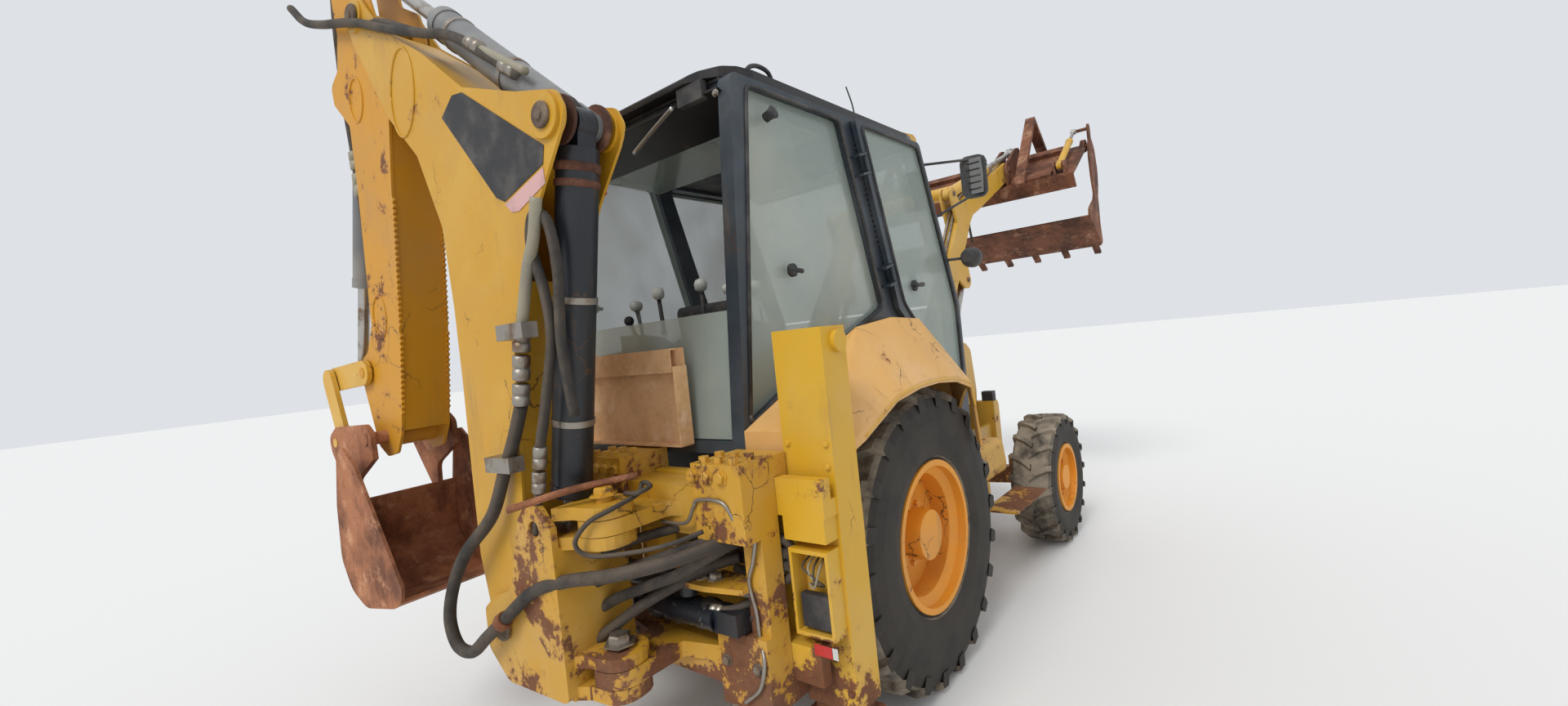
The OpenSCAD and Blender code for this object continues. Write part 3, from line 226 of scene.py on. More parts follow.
def paintMaterial(name, color, faded, start, climb, rough):
    made = newMaterial(name)
    tree = made[1]
    tone = mixColor(tree, ramp(tree, noiseOf(tree, 2.3, 4), 0.4, 0.68), color, faded)
    streaks = ramp(tree, noiseOf(tree, 6, 5, 0.7, (1, 1, 0.18)), 0.56, 0.74)
    tone = mixColor(tree, times(tree, streaks, 0.35), tone, (0.2, 0.12, 0.05))
    # chips grow where the coarse and the fine noise agree, along edges and low down
    coarse = noiseOf(tree, 5.5, 8, 0.62)
    fine = noiseOf(tree, 38, 6, 0.7)
    both = maths(tree, "ADD", times(tree, coarse, 0.72), times(tree, fine, 0.28))
    edge = times(tree, edgeWear(tree), 0.09)
    low = times(tree, heightFade(tree, *wear["line"]), 0.1 * climb)
    level = maths(tree, "ADD", maths(tree, "ADD", both, edge), low)
    chip = ramp(tree, level, start - wear["edge"], start + wear["edge"])
    halo = ramp(tree, level, start - wear["stain"][0], start + wear["stain"][1])
    tone = mixColor(tree, times(tree, halo, 0.55), tone, (0.3, 0.11, 0.025))
    rustTone = mixColor(tree, fine, (0.055, 0.02, 0.01), (0.26, 0.095, 0.035))
    tone = mixColor(tree, chip, tone, rustTone)
    tone = mixColor(tree, times(tree, cracksOf(tree), 0.85), tone, (0.07, 0.03, 0.012))
    cover = wear["dust"][0] if color[0] < wear["dark"] else wear["dust"][1]
    dust = times(tree, ramp(tree, noiseOf(tree, 3.1, 5), 0.45, 0.7), cover)
    tone = mixColor(tree, dust, tone, (0.36, 0.26, 0.17))
    height = maths(tree, "SUBTRACT", times(tree, fine, 0.25), times(tree, chip, 0.25))
    return finishOff(made, tone, rangeOf(tree, chip, rough, 0.86), height, 0.35, 0.004)


# dark, middle and pale rust
rusts = {
    "bucketRust": ((0.14, 0.048, 0.02), (0.4, 0.155, 0.068), (0.6, 0.31, 0.17)),
    "loaderRust": ((0.07, 0.024, 0.011), (0.21, 0.078, 0.038), (0.46, 0.25, 0.15)),
    # pale tan rust on the sheet guard, brightened far past the rust's own colour as painted light on the
    # guard
    "guardRust": ((0.6, 0.34, 0.16), (0.8, 0.5, 0.26), (0.86, 0.62, 0.4)),
    "oldSteel": ((0.07, 0.045, 0.03), (0.22, 0.16, 0.11), (0.4, 0.34, 0.27)),
    "wornPin": ((0.05, 0.018, 0.01), (0.15, 0.055, 0.028), (0.27, 0.13, 0.07)),
    "brightRust": ((0.16, 0.052, 0.018), (0.3, 0.11, 0.035), (0.42, 0.2, 0.08)),
}


def rustMaterial(name, dark, mid, pale):
    made = newMaterial(name)
    tree = made[1]
    tone = mixColor(tree, ramp(tree, noiseOf(tree, 4.2, 9, 0.66), 0.36, 0.62), dark, mid)
    spots = times(tree, ramp(tree, noiseOf(tree, 9, 8, 0.7), 0.52, 0.68), 0.7)
    tone = mixColor(tree, spots, tone, pale)
    speck = noiseOf(tree, 120, 3, 0.6)
    tone = mixColor(tree, ramp(tree, speck, 0.55, 0.75), tone, dark)
    height = maths(tree, "ADD", times(tree, speck, 0.4), noiseOf(tree, 30, 6))
    return finishOff(made, tone, 0.82, height, 0.5, 0.004)


# colour and roughness
metals = {
    "rodSteel": ((0.46, 0.44, 0.41), 0.28),
    "fittingSteel": ((0.33, 0.3, 0.26), 0.45),
    "paleFitting": ((0.62, 0.58, 0.5), 0.5),
}


def steelMaterial(name, color, rough):
    made = newMaterial(name)
    tree = made[1]
    tone = mixColor(tree, ramp(tree, noiseOf(tree, 14, 6), 0.48, 0.7), color, (0.2, 0.13, 0.08))
    feed(tree, made[2].inputs["Metallic"], 0.85)
    return finishOff(made, tone, rough, noiseOf(tree, 60, 4), 0.15, 0.001)


# colour, dust and the share of dust on faces that look sideways
rubbers = {
    "tyreRubber": ((0.022, 0.018, 0.014), (0.3, 0.25, 0.185), 0.05),
    "hoseRubber": ((0.02, 0.018, 0.017), (0.1, 0.075, 0.052), 0.4),
}


def rubberMaterial(name, color, dust, side):
    made = newMaterial(name)
    tree = made[1]
    cover = ramp(tree, noiseOf(tree, 5, 7, 0.65), 0.3, 0.6)
    shape = addNode(tree, "ShaderNodeNewGeometry")
    split = addNode(tree, "ShaderNodeSeparateXYZ", in_Vector=shape.outputs["Normal"])
    sideways = ramp(tree, times(tree, split.outputs["Y"], split.outputs["Y"]), 0.25, 0.75)
    tone = mixColor(tree, times(tree, cover, rangeOf(tree, sideways, 0.9, side)), color, dust)
    return finishOff(made, tone, 0.78, noiseOf(tree, 45, 6), 0.3, 0.003)


def glassMaterial(name):
    mat, tree, shader = newMaterial(name)
    grime = ramp(tree, noiseOf(tree, 1.7, 4, 0.5), 0.3, 0.75)
    look = {"Base Color": mixColor(tree, grime, (0.44, 0.52, 0.47), (0.5, 0.53, 0.46)),
            "Alpha": rangeOf(tree, grime, 0.44, 0.58), "Roughness": 0.12, "Specular IOR Level": 0.6}
    for socket, value in look.items():
        feed(tree, shader.inputs[socket], value)
    mat.surface_render_method = "BLENDED"
    return mat


# colour and roughness
plastics = {
    "blackPlastic": ((0.022, 0.022, 0.024), 0.6),
    "greyPlastic": ((0.17, 0.175, 0.17), 0.6),
    "paleHose": ((0.3, 0.27, 0.19), 0.5),
    "tornFilm": ((0.018, 0.019, 0.021), 0.32),
    "seatCloth": ((0.045, 0.045, 0.05), 0.9),
    "lampLens": ((0.55, 0.56, 0.52), 0.12),
    "redLens": ((0.5, 0.02, 0.015), 0.25),
    "paleStrip": ((0.62, 0.36, 0.34), 0.5),
}


def plasticMaterial(name, color, rough):
    made = newMaterial(name)
    tree = made[1]
    dust = times(tree, ramp(tree, noiseOf(tree, 7, 6), 0.4, 0.7), 0.4)
    tone = mixColor(tree, dust, color, (0.16, 0.14, 0.12))
    return finishOff(made, tone, rough, noiseOf(tree, 260, 3), 0.15, 0.001)


materials = {"cabGlass": glassMaterial("cabGlass")}
for make, looks in ((paintMaterial, paints), (rustMaterial, rusts), (steelMaterial, metals),
                    (rubberMaterial, rubbers), (plasticMaterial, plastics)):
    materials.update({name: make(name, *look) for name, look in looks.items()})
print("materials made:", len(materials))

finishes = {
    "yellow": "hood loader_arms lift_barrels tilt_barrels clam_barrels main_frame hoe_lever hoe_link",
    "fenderYellow": "fenders",
    "legYellow": "stabilizer_left stabilizer_right rear_frame",
    "yellowWorn": "carriage kingpost side_tanks knuckle_left knuckle_right axles",
    "boomYellow": "boom",
    "stickYellow": "stick",
    "rimYellow": "rim_rear_left rim_rear_right rim_front_left rim_front_right",
    "charcoal": "cab_frame door_left door_right",
    "blackGloss": "cab_roof",
    "barrelBlack": "boom_barrel swing_cylinders",
    "barrelGrey": "stick_barrel hoe_barrel",
    "bucketRust": "hoe_bucket",
    "loaderRust": "loader_bucket bucket_clam forks",
    "guardRust": "sheet_guard",
    "oldSteel": "exhaust engine",
    "rodSteel": "lift_rods tilt_rods clam_rods boom_rod stick_rod hoe_rod",
    "tyreRubber": "tyre_rear_left tyre_rear_right tyre_front_left tyre_front_right",
    "cabGlass": "cab_windows door_left_glass door_right_glass",
    "blackPlastic": "operator_station mirrors lamps",
}


def dressNodes():
    for finish, names in finishes.items():
        for name in names.split():
            obj = nodes[name]
            if not obj.material_slots:
                obj.data.materials.append(materials[finish])
            for slot in obj.material_slots:
                slot.link = "OBJECT"
                slot.material = materials[finish]
    missing = set(nodes) - set(" ".join(finishes.values()).split())
    print("nodes dressed, left over:", sorted(missing))


dressNodes()


def newPiece(name, mesh, finish, smooth):
    mesh.materials.append(materials[finish])
    if smooth:
        mesh.polygons.foreach_set("use_smooth", [True] * len(mesh.polygons))
    return newObject(name, mesh)


def addPiece(name, mesh, finish, body, smooth=False):
    obj = newPiece(name, mesh, finish, smooth)
    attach(obj, body)
    return obj


def meshFrom(name, verts, faces):
    mesh = bpy.data.meshes.new(name)
    mesh.from_pydata([tuple(v) for v in verts], [], faces)
    mesh.update()
    return mesh


def gridFaces(rings, sides, first=0):
    # quads from ring to ring, each ring closed on itself
    faces = []
    for i in range(rings - 1):
        near, far = first + i * sides, first + (i + 1) * sides
        for k in range(sides):
            j = (k + 1) % sides
            faces.append((near + k, near + j, far + j, far + k))
    return faces


def circle(centre, across, other, radius, sides):
    turns = [2 * pi * k / sides for k in range(sides)]
    return [centre + (across * cos(a) + other * sin(a)) * radius for a in turns]


def smoothPath(points, count):
    # a Catmull-Rom curve through the points
    pts = [Vector(p) for p in points]
    pts = [2 * pts[0] - pts[1]] + pts + [2 * pts[-1] - pts[-2]]
    out = []
    spans = len(pts) - 3
    for k in range(count + 1):
        t = k / count * spans
        i = min(int(t), spans - 1)
        f = t - i
        a, b, c, d = pts[i:i + 4]
        cubic = (3 * b - a - 3 * c + d) * f ** 3
        out.append(0.5 * ((2 * b) + (c - a) * f + (2 * a - 5 * b + 4 * c - d) * f * f + cubic))
    return out


def tubeMesh(name, path, radius, sides=10):
    verts = []
    normal = (path[1] - path[0]).normalized().orthogonal().normalized()
    for i, p in enumerate(path):
        ahead = (path[min(i + 1, len(path) - 1)] - path[max(i - 1, 0)]).normalized()
        normal = (normal - ahead * normal.dot(ahead)).normalized()
        verts += circle(p, normal, ahead.cross(normal), radius, sides)
    faces = gridFaces(len(path), sides)
    faces.append(tuple(range(sides - 1, -1, -1)))
    faces.append(tuple((len(path) - 1) * sides + k for k in range(sides)))
    return meshFrom(name, verts, faces)


def mended(mesh, merge=0):
    # joins points nearer than merge, or else turns the faces outward
    fixed = bmesh.new()
    fixed.from_mesh(mesh)
    if merge:
        bmesh.ops.remove_doubles(fixed, verts=fixed.verts, dist=merge)
    else:
        bmesh.ops.recalc_face_normals(fixed, faces=fixed.faces)
    fixed.to_mesh(mesh)
    fixed.free()
    return mesh


def plate(name, outline, lift, finish, body):
    # a thin prism on an outline of points, raised along lift
    lift = Vector(lift)
    count = len(outline)
    verts = [Vector(p) for p in outline] + [Vector(p) + lift for p in outline]
    faces = [tuple(range(count))[::-1], tuple(range(count, 2 * count))]
    faces += [(i, (i + 1) % count, (i + 1) % count + count, i + count) for i in range(count)]
    addPiece(name, mended(meshFrom(name, verts, faces)), finish, body)


def turned(name, stacks, finish, body, sides=24, smooth=False, ring=False):
    # each stack is a start point, a direction and a profile of (along, radius)
    # six sides make a hexagon, and a ring stays open in the middle
    verts, faces = [], []
    for start, way, profile in stacks:
        way = Vector(way).normalized()
        across = way.orthogonal().normalized()
        first = len(verts)
        for along, radius in profile:
            verts += circle(Vector(start) + way * along, across, way.cross(across), radius, sides)
        faces += gridFaces(len(profile), sides, first)
        last = first + (len(profile) - 1) * sides
        if ring:
            faces += [(last + k, last + (k + 1) % sides, first + (k + 1) % sides, first + k)
                      for k in range(sides)]
        else:
            faces.append(tuple(first + k for k in range(sides))[::-1])
            faces.append(tuple(last + k for k in range(sides)))
    addPiece(name, meshFrom(name, verts, faces), finish, body, smooth)


boltProfile = [(0, 1.45), (0.16, 1.45), (0.2, 1.0), (0.75, 1.0), (0.9, 0.84)]


def boltSet(name, spots, way, size, body, finish="fittingSteel"):
    profile = [(a * size, b * size) for a, b in boltProfile]
    turned(name, [(spot, way, profile) for spot in spots], finish, body, 6)


def sleeves(name, pairs, radius, body, finish="fittingSteel"):
    # crimped couplings, each from one point to the next
    stacks = []
    for start, end in pairs:
        length = (end - start).length
        neck, lip = radius * 0.86, radius * 0.8
        profile = [(0, lip), (0.004, radius), (length * 0.46, radius), (length * 0.48, neck),
                   (length * 0.54, neck), (length * 0.56, radius), (length - 0.004, radius), (length, lip)]
        stacks.append((start, end - start, profile))
    turned(name, stacks, finish, body, 16, True)


def hose(name, points, radius, body, finish="hoseRubber", to=None, sides=12):
    path = smoothPath(points, 8 * (len(points) - 1))
    obj = newPiece(name, tubeMesh(name, path, radius, sides), finish, True)
    if to:
        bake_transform(obj)
    else:
        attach(obj, body)


def makeHoses(table, spot, body):
    # all on one body, apart from those that name their own
    for name, kind in table.items():
        look = {"body": body, **kind, "points": [spot(*p) for p in kind["points"]]}
        hose(name, **look)


tyres = {
    "rear": {"radius": 0.72, "wide": 0.467, "bead": 0.346, "lugs": 44, "depth": 0.034, "x": 0, "y": 0.857},
    "front": {"radius": 0.48, "wide": 0.306, "bead": 0.234, "lugs": 36, "depth": 0.026, "x": 2.2, "y": 0.946},
}
# along a lug from the middle to the side wall: place across, lead round the tyre, height as a share
lugStations = ((0.05, 0.1, 1.0), (-0.35, 0.04, 1.0), (-0.78, 0.0, 0.996), (-0.965, -0.01, 0.962),
               (-0.985, -0.012, 0.9))
# half a lug's width as an angle, and its foot and top corners
lugHalf = 0.03 / 0.72
lugCorners = ((-1, 1.25), (-1, 0.9), (1, 0.9), (1, 1.25))


def tyreMesh(name, kind, side):
    r, w, bead, depth = kind["radius"], kind["wide"] / 2, kind["bead"], kind["depth"]
    centre = at(kind["x"], side * kind["y"], r)
    shoulder = r - depth
    profile = [(bead + 0.002, -0.8 * w), (bead + 0.03, -0.82 * w), (bead + 0.035, -0.88 * w),
               (bead + 0.1, -0.965 * w), ((r + bead) / 2 + 0.02, -0.985 * w), (shoulder - 0.06, -0.955 * w),
               (shoulder - 0.02, -0.9 * w), (shoulder - 0.004, -0.8 * w), (shoulder, -0.4 * w)]
    profile = profile + [(shoulder + 0.001, 0)] + [(a, -b) for a, b in reversed(profile)]
    steps = 72
    mesh = bmesh.new()

    def point(radius, across, turn):
        return mesh.verts.new(centre + Vector((radius * cos(turn), across, radius * sin(turn))))

    rings = [[point(p, q, 2 * pi * k / steps) for p, q in profile] for k in range(steps)]
    for k in range(steps):
        one, two = rings[k], rings[(k + 1) % steps]
        for i in range(len(profile)):
            j = (i + 1) % len(profile)
            mesh.faces.new((one[i], one[j], two[j], two[i]))
    # lugs: slanted bars from the shoulder past the middle, left and right in turn
    count = kind["lugs"]
    for k in range(count):
        hand = 1 if k % 2 else -1
        base = 2 * pi * k / count
        ring = []
        for q, lead, reach in lugStations:
            top = r * reach
            foot = top - depth - 0.012 if q > -0.9 else top - 0.03
            turn = base + lead * 1.6
            ring.append([point(foot if flare > 1 else top, -hand * q * w, turn + edge * lugHalf * flare)
                         for edge, flare in lugCorners])
        for a, b in zip(ring, ring[1:]):
            for i in range(3):
                mesh.faces.new((a[i], a[i + 1], b[i + 1], b[i]))
        mesh.faces.new(ring[0])
        mesh.faces.new(ring[-1][::-1])
    bmesh.ops.recalc_face_normals(mesh, faces=mesh.faces)
    data = bpy.data.meshes.new(name)
    mesh.to_mesh(data)
    mesh.free()
    return data


def makeTyres():
    for end, kind in tyres.items():
        for side, hand in hands:
            name = f"tread_{end}_{hand}"
            tread = addPiece(name, tyreMesh(name, kind, side), "tyreRubber", f"{end}_wheel_{hand}")
            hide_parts(f"tyre_{end}_{hand}")
    print("tyres made")


makeTyres()


# caps on the ends of the backhoe's pins: u, z, distance from the middle plane, radius, body
pinCaps = {
    "ear": {"u": -0.085, "z": 2.56, "v": 0.146, "r": 0.044, "body": "boom"},
    "nose": {"u": 1.2, "z": 3.38, "v": 0.142, "r": 0.05, "body": "boom"},
    "king_boom": {"u": 0.47, "z": 0.75, "v": 0.172, "r": 0.052, "body": "kingpost"},
}


def makePinCaps():
    for name, cap in pinCaps.items():
        r = cap["r"]
        profile = [(0, r), (0.008, r), (0.012, r * 0.9), (0.0125, r * 0.45), (0.018, r * 0.4)]
        stacks = [(hoeAt(cap["u"], side * cap["v"], cap["z"]), outward(side), profile) for side in (-1, 1)]
        turned(f"pin_cap_{name}", stacks, "oldSteel", cap["body"], 28)
    print("pin caps made")


makePinCaps()


# weld beads on the plates: centre u and z, half sizes, turn in degrees, distance out
welds = {
    "boom": {"u": 0.85, "z": 2.93, "a": 0.1, "b": 0.18, "turn": 8, "v": 0.131, "body": "boom"},
    "stick_low": {"u": 1.35, "z": 2.04, "a": 0.065, "b": 0.1, "turn": 0, "v": 0.111, "body": "stick"},
    "stick_high": {"u": 1.33, "z": 3.05, "a": 0.065, "b": 0.1, "turn": 0, "v": 0.111, "body": "stick"},
}


def makeWelds():
    steps, radius = 48, 0.005
    for name, weld in welds.items():
        turn = radians(weld["turn"])
        for side, cheek in cheeks:
            points = []
            for k in range(steps + 1):
                a = 2 * pi * k / steps
                x, y = weld["a"] * cos(a), weld["b"] * sin(a)
                points.append(hoeAt(weld["u"] + x * cos(turn) - y * sin(turn), side * weld["v"],
                                    weld["z"] + x * sin(turn) + y * cos(turn)))
            piece = f"weld_{name}_{cheek}"
            addPiece(piece, tubeMesh(piece, points, radius, 8), f"{weld['body']}Yellow", weld["body"], True)


makeWelds()


# a bare dark panel on the boom's hump with a pale strip at its lower edge, as (u, z)
boomPanel = {
    "panel": {"finish": "blackPlastic", "outline": [
        (0.56, 2.74), (0.47, 2.8), (0.4, 2.79), (-0.06, 2.47), (-0.045, 2.41), (0.2, 2.335),
        (0.25, 2.36)]},
    "strip": {"finish": "paleStrip", "outline": [
        (-0.044, 2.4), (0.2, 2.325), (0.165, 2.29), (0.12, 2.285), (-0.045, 2.345)]},
}


def makeBoomPanel():
    out, thick = 0.1302, 0.0025
    for side, cheek in cheeks:
        for name, kind in boomPanel.items():
            outline = [hoeAt(u, side * out, z) for u, z in kind["outline"]]
            plate(f"boom_{name}_{cheek}", outline, outward(side) * thick, kind["finish"], "boom")
    print("boom dressed")


makeBoomPanel()


# pipes and hoses of the backhoe as (u, v, z): down the boom's edge, the loop to the kingpost and
# on to the column, then over the boom's back
hoeHoses = {
    "boom_pipe": {"radius": 0.021, "finish": "paleHose", "points": [
        (-0.02, 0.155, 2.3), (0.02, 0.155, 2.17), (0.07, 0.155, 2.08), (0.12, 0.155, 1.95),
        (0.15, 0.155, 1.86)]},
    "boom_loop_hose": {"radius": 0.024, "to": "kingpost", "points": [
        (0.205, 0.155, 1.6), (0.27, 0.158, 1.48), (0.35, 0.16, 1.36), (0.43, 0.185, 1.19),
        (0.6, 0.21, 1.04), (0.7, 0.225, 0.9), (0.75, 0.23, 0.76), (0.71, 0.23, 0.66),
        (0.6, 0.23, 0.655), (0.49, 0.225, 0.73), (0.4, 0.205, 0.8)]},
    "kingpost_hose": {"radius": 0.024, "body": "kingpost", "to": "carriage", "points": [
        (0.4, 0.205, 0.8), (0.24, 0.17, 0.92), (0.08, 0.14, 0.97), (-0.12, 0.09, 1.0), (-0.26, -0.02, 1.02),
        (-0.35, -0.16, 1.04), (-0.39, -0.3, 1.04)]},
    "boom_second_hose": {"radius": 0.019, "points": [
        (-0.02, 0.1, 1.55), (-0.02, 0.12, 1.8), (-0.05, 0.125, 2.05), (-0.03, 0.13, 2.22),
        (0.03, 0.14, 2.25), (0.06, 0.14, 2.15), (0.02, 0.135, 1.98), (0.02, 0.13, 1.82),
        (0.08, 0.135, 1.62), (0.14, 0.14, 1.45)]},
    "boom_third_pipe": {"radius": 0.016, "points": [
        (0.18, 0.14, 1.29), (0.205, 0.14, 1.2), (0.23, 0.14, 1.1)]},
    "stick_hose_long": {"radius": 0.019, "body": "stick", "to": "boom", "points": [
        (1.92, 0.12, 3.7), (1.72, 0.14, 3.55), (1.5, 0.15, 3.45), (1.16, 0.155, 3.33), (0.88, 0.15, 3.2),
        (0.62, 0.14, 3.09), (0.46, 0.12, 3.03), (0.32, 0.1, 2.93), (0.2, 0.08, 2.84)]},
    "stick_hose_short": {"radius": 0.019, "points": [
        (1.2, 0.1, 3.36), (0.95, 0.12, 3.26), (0.7, 0.12, 3.13), (0.5, 0.11, 3.05), (0.36, 0.1, 2.97)]},
    "boom_back_pipe": {"radius": 0.015, "finish": "paleHose", "points": [
        (0.3, 0.095, 2.93), (0.18, 0.09, 2.85), (0.06, 0.085, 2.77)]},
}
# couplings on them: radius and the ends of each
hoeSleeves = {
    "boom_pipe_fittings": {"radius": 0.031, "ends": [
        ((0.15, 0.155, 1.87), (0.165, 0.155, 1.79)), ((0.168, 0.155, 1.78), (0.185, 0.155, 1.69)),
        ((0.188, 0.155, 1.68), (0.205, 0.155, 1.6))]},
    "second_hose_fittings": {"radius": 0.025, "ends": [
        ((0.14, 0.14, 1.45), (0.16, 0.14, 1.37)), ((0.165, 0.14, 1.36), (0.18, 0.14, 1.28))]},
    "boom_back_fittings": {"radius": 0.027, "ends": [
        ((0.37, 0.1, 2.975), (0.3, 0.095, 2.93)), ((0.2, 0.08, 2.84), (0.13, 0.075, 2.79))]},
}
# two hoses down the stick's far edge: route as (u, z), couplings, distance from the middle plane
stickHoses = {
    "route": [(1.52, 3.62), (1.535, 3.42), (1.53, 3.12), (1.5, 2.85), (1.475, 2.5), (1.47, 2.3)],
    "ends": [((1.5, 2.86), (1.492, 2.77)), ((1.49, 2.75), (1.483, 2.64))],
    "near": 0.075, "far": -0.075,
}


def makeHoeHoses():
    makeHoses(hoeHoses, hoeAt, "boom")
    for name, kind in hoeSleeves.items():
        sleeves(name, [(hoeAt(*a), hoeAt(*b)) for a, b in kind["ends"]], kind["radius"], "boom")
    for name in ("near", "far"):
        v = stickHoses[name]
        hose(f"stick_hose_{name}", [hoeAt(u, v, z) for u, z in stickHoses["route"]], 0.018, "stick")
        pairs = [(hoeAt(a, v, b), hoeAt(c, v, d)) for (a, b), (c, d) in stickHoses["ends"]]
        sleeves(f"stick_fittings_{name}", pairs, 0.027, "stick", "paleHose")
    # the clip on the kingpost where two hoses meet
    start, after = (hoeAt(*p) for p in hoeHoses["kingpost_hose"]["points"][:2])
    way = (after - start).normalized()
    band = [(0, 0.0235), (0, 0.032), (0.036, 0.032), (0.036, 0.0235)]
    turned("hose_clip", [(start - way * 0.018, way, band)], "brightRust", "kingpost", 24, True, True)
    # clamps that hold the pipes to the boom
    corners = ((-0.06, -0.028), (0.1, -0.028), (0.1, 0.028), (-0.06, 0.028))
    for name, u, z in (("upper", 0.15, 1.865), ("lower", 0.325, 1.385)):
        outline = [hoeAt(u + x, 0.131, z + y) for x, y in corners]
        plate(f"hose_clamp_{name}", outline, outward(1) * 0.062, "fittingSteel", "boom")
    print("backhoe hoses made")


makeHoeHoses()


# the ends of the boom and stick cylinders as (u, z), and the steel bands round their barrels
barrels = {
    "boom": {"base": (-0.085, 2.56), "tip": (0.205, 1.15), "radius": 0.0775},
    "stick": {"base": (-0.085, 2.56), "tip": (1.4, 3.78), "radius": 0.07},
}
straps = {
    "boom_cylinder": {"barrel": "boom", "along": 0.6},
    "boom_cylinder_low": {"barrel": "boom", "along": 1.05},
    "stick_cylinder": {"barrel": "stick", "along": 0.42},
    "stick_cylinder_high": {"barrel": "stick", "along": 0.86},
}


def barrelLine(name):
    base, tip = (hoeAt(u, 0, z) for u, z in (barrels[name]["base"], barrels[name]["tip"]))
    return base, (tip - base).normalized()


def makeStraps():
    for name, strap in straps.items():
        start, way = barrelLine(strap["barrel"])
        low, high = (barrels[strap["barrel"]]["radius"] + step for step in (-0.002, 0.002))
        band = [(0, low), (0.001, high), (0.024, high), (0.025, low)]
        turned(f"strap_{name}", [(start + way * strap["along"], way, band)], "fittingSteel",
               f"{strap['barrel']}_barrel", 40, False, True)


makeStraps()


# rusty cheeks and collar at the top of the boom cylinder
boomEar = {"radius": 0.085, "out": 0.0665, "thick": 0.012, "steps": 24, "along": 0.13, "collar": [
    (0, 0.07), (0.004, 0.08), (0.03, 0.08), (0.034, 0.074), (0.06, 0.074), (0.064, 0.08), (0.085, 0.08),
    (0.09, 0.07)]}


def makeBoomEar():
    start, way = barrelLine("boom")
    (u, z), r, steps = barrels["boom"]["base"], boomEar["radius"], boomEar["steps"]
    turns = [2 * pi * k / steps for k in range(steps)]
    for side, cheek in cheeks:
        outline = [hoeAt(u + r * cos(a), side * boomEar["out"], z + r * sin(a)) for a in turns]
        plate(f"ear_cheek_{cheek}", outline, outward(side) * boomEar["thick"], "wornPin", "boom_barrel")
    turned("barrel_collar", [(start + way * boomEar["along"], way, boomEar["collar"])], "wornPin",
           "boom_barrel", 40, True)


makeBoomEar()


# torn black film wrapped round the right swing cylinder
film = {"start": (-1.185, -0.765, 0.76), "end": (-1.185, -0.355, 0.75), "radius": 0.053, "swell": 0.008,
        "tuck": 0.022, "fold": 0.01, "crease": 0.022, "rings": 70, "sides": 36}


def makeFilm():
    start, end = at(*film["start"]), at(*film["end"])
    rings, sides = film["rings"], film["sides"]
    verts = []
    for i in range(rings):
        t = i / (rings - 1)
        centre = start.lerp(end, t)
        tuck = film["tuck"] * max(0, t - 0.85) / 0.15
        swell = film["radius"] + film["swell"] * sin(3 * t * pi) ** 2 - tuck
        for k in range(sides):
            a = 2 * pi * k / sides
            c, s = cos(a), sin(a)
            fold = noise.noise(Vector((t * 9, c * 1.6, s * 1.6))) * film["fold"]
            crease = abs(noise.noise(Vector((t * 15 + 3 * c, c * 4, s * 4)))) * film["crease"]
            verts.append(centre + Vector((c, 0, s)) * (swell + fold - crease))
    faces = [(a, d, c, b) for a, b, c, d in gridFaces(rings, sides)]
    faces += [tuple(range(sides)), tuple((rings - 1) * sides + k for k in range(sides))[::-1]]
    addPiece("torn_film", meshFrom("torn_film", verts, faces), "tornFilm", "carriage", True)


makeFilm()


# a bent steel pipe down the right column, a rusty bar and a thin hose that lie on the upper arm
carriageHoses = {
    "column_pipe": {"radius": 0.007, "finish": "fittingSteel", "sides": 8, "points": [
        (-1.232, -0.55, 1.1), (-1.232, -0.68, 1.11), (-1.232, -0.73, 1.17), (-1.232, -0.76, 1.2),
        (-1.232, -0.88, 1.2), (-1.215, -0.92, 1.13), (-1.17, -0.955, 1.08), (-1.162, -0.93, 0.98),
        (-1.162, -0.9, 0.9), (-1.162, -0.92, 0.8), (-1.162, -0.925, 0.7), (-1.19, -0.96, 0.64),
        (-1.192, -0.93, 0.54), (-1.192, -0.85, 0.47)]},
    "loose_bar": {"radius": 0.013, "body": "kingpost", "finish": "bucketRust", "sides": 8, "points": [
        (-1.72, -0.35, 1.262), (-1.5, -0.42, 1.285), (-1.31, -0.53, 1.295)]},
    "thin_hose": {"radius": 0.009, "body": "kingpost", "to": "carriage", "sides": 8, "points": [
        (-1.35, -0.5, 1.235), (-1.37, -0.6, 1.25), (-1.31, -0.6, 1.26), (-1.29, -0.53, 1.262),
        (-1.34, -0.56, 1.235), (-1.46, -0.57, 1.215), (-1.53, -0.52, 1.18), (-1.555, -0.47, 1.11),
        (-1.52, -0.5, 1.06), (-1.44, -0.62, 1.06), (-1.36, -0.74, 1.08), (-1.26, -0.8, 1.1)]},
}
# hoses from the machine to the backhoe
swingHoses = [
    [(-1.08, -0.84, 1.03), (-1.2, -0.8, 1.01), (-1.28, -0.68, 0.94), (-1.33, -0.55, 0.89),
     (-1.37, -0.42, 0.84), (-1.4, -0.345, 0.8)],
    [(-1.06, -0.86, 1.05), (-1.18, -0.8, 1.05), (-1.28, -0.65, 1.01), (-1.36, -0.5, 0.96),
     (-1.42, -0.345, 0.9)],
    [(-1.09, -0.8, 0.95), (-1.14, -0.72, 0.93), (-1.24, -0.62, 0.88), (-1.33, -0.5, 0.81),
     (-1.4, -0.41, 0.74), (-1.44, -0.345, 0.69)],
    [(-1.06, -0.72, 1.07), (-1.18, -0.6, 1.07), (-1.3, -0.45, 1.04), (-1.38, -0.345, 1.0)],
]
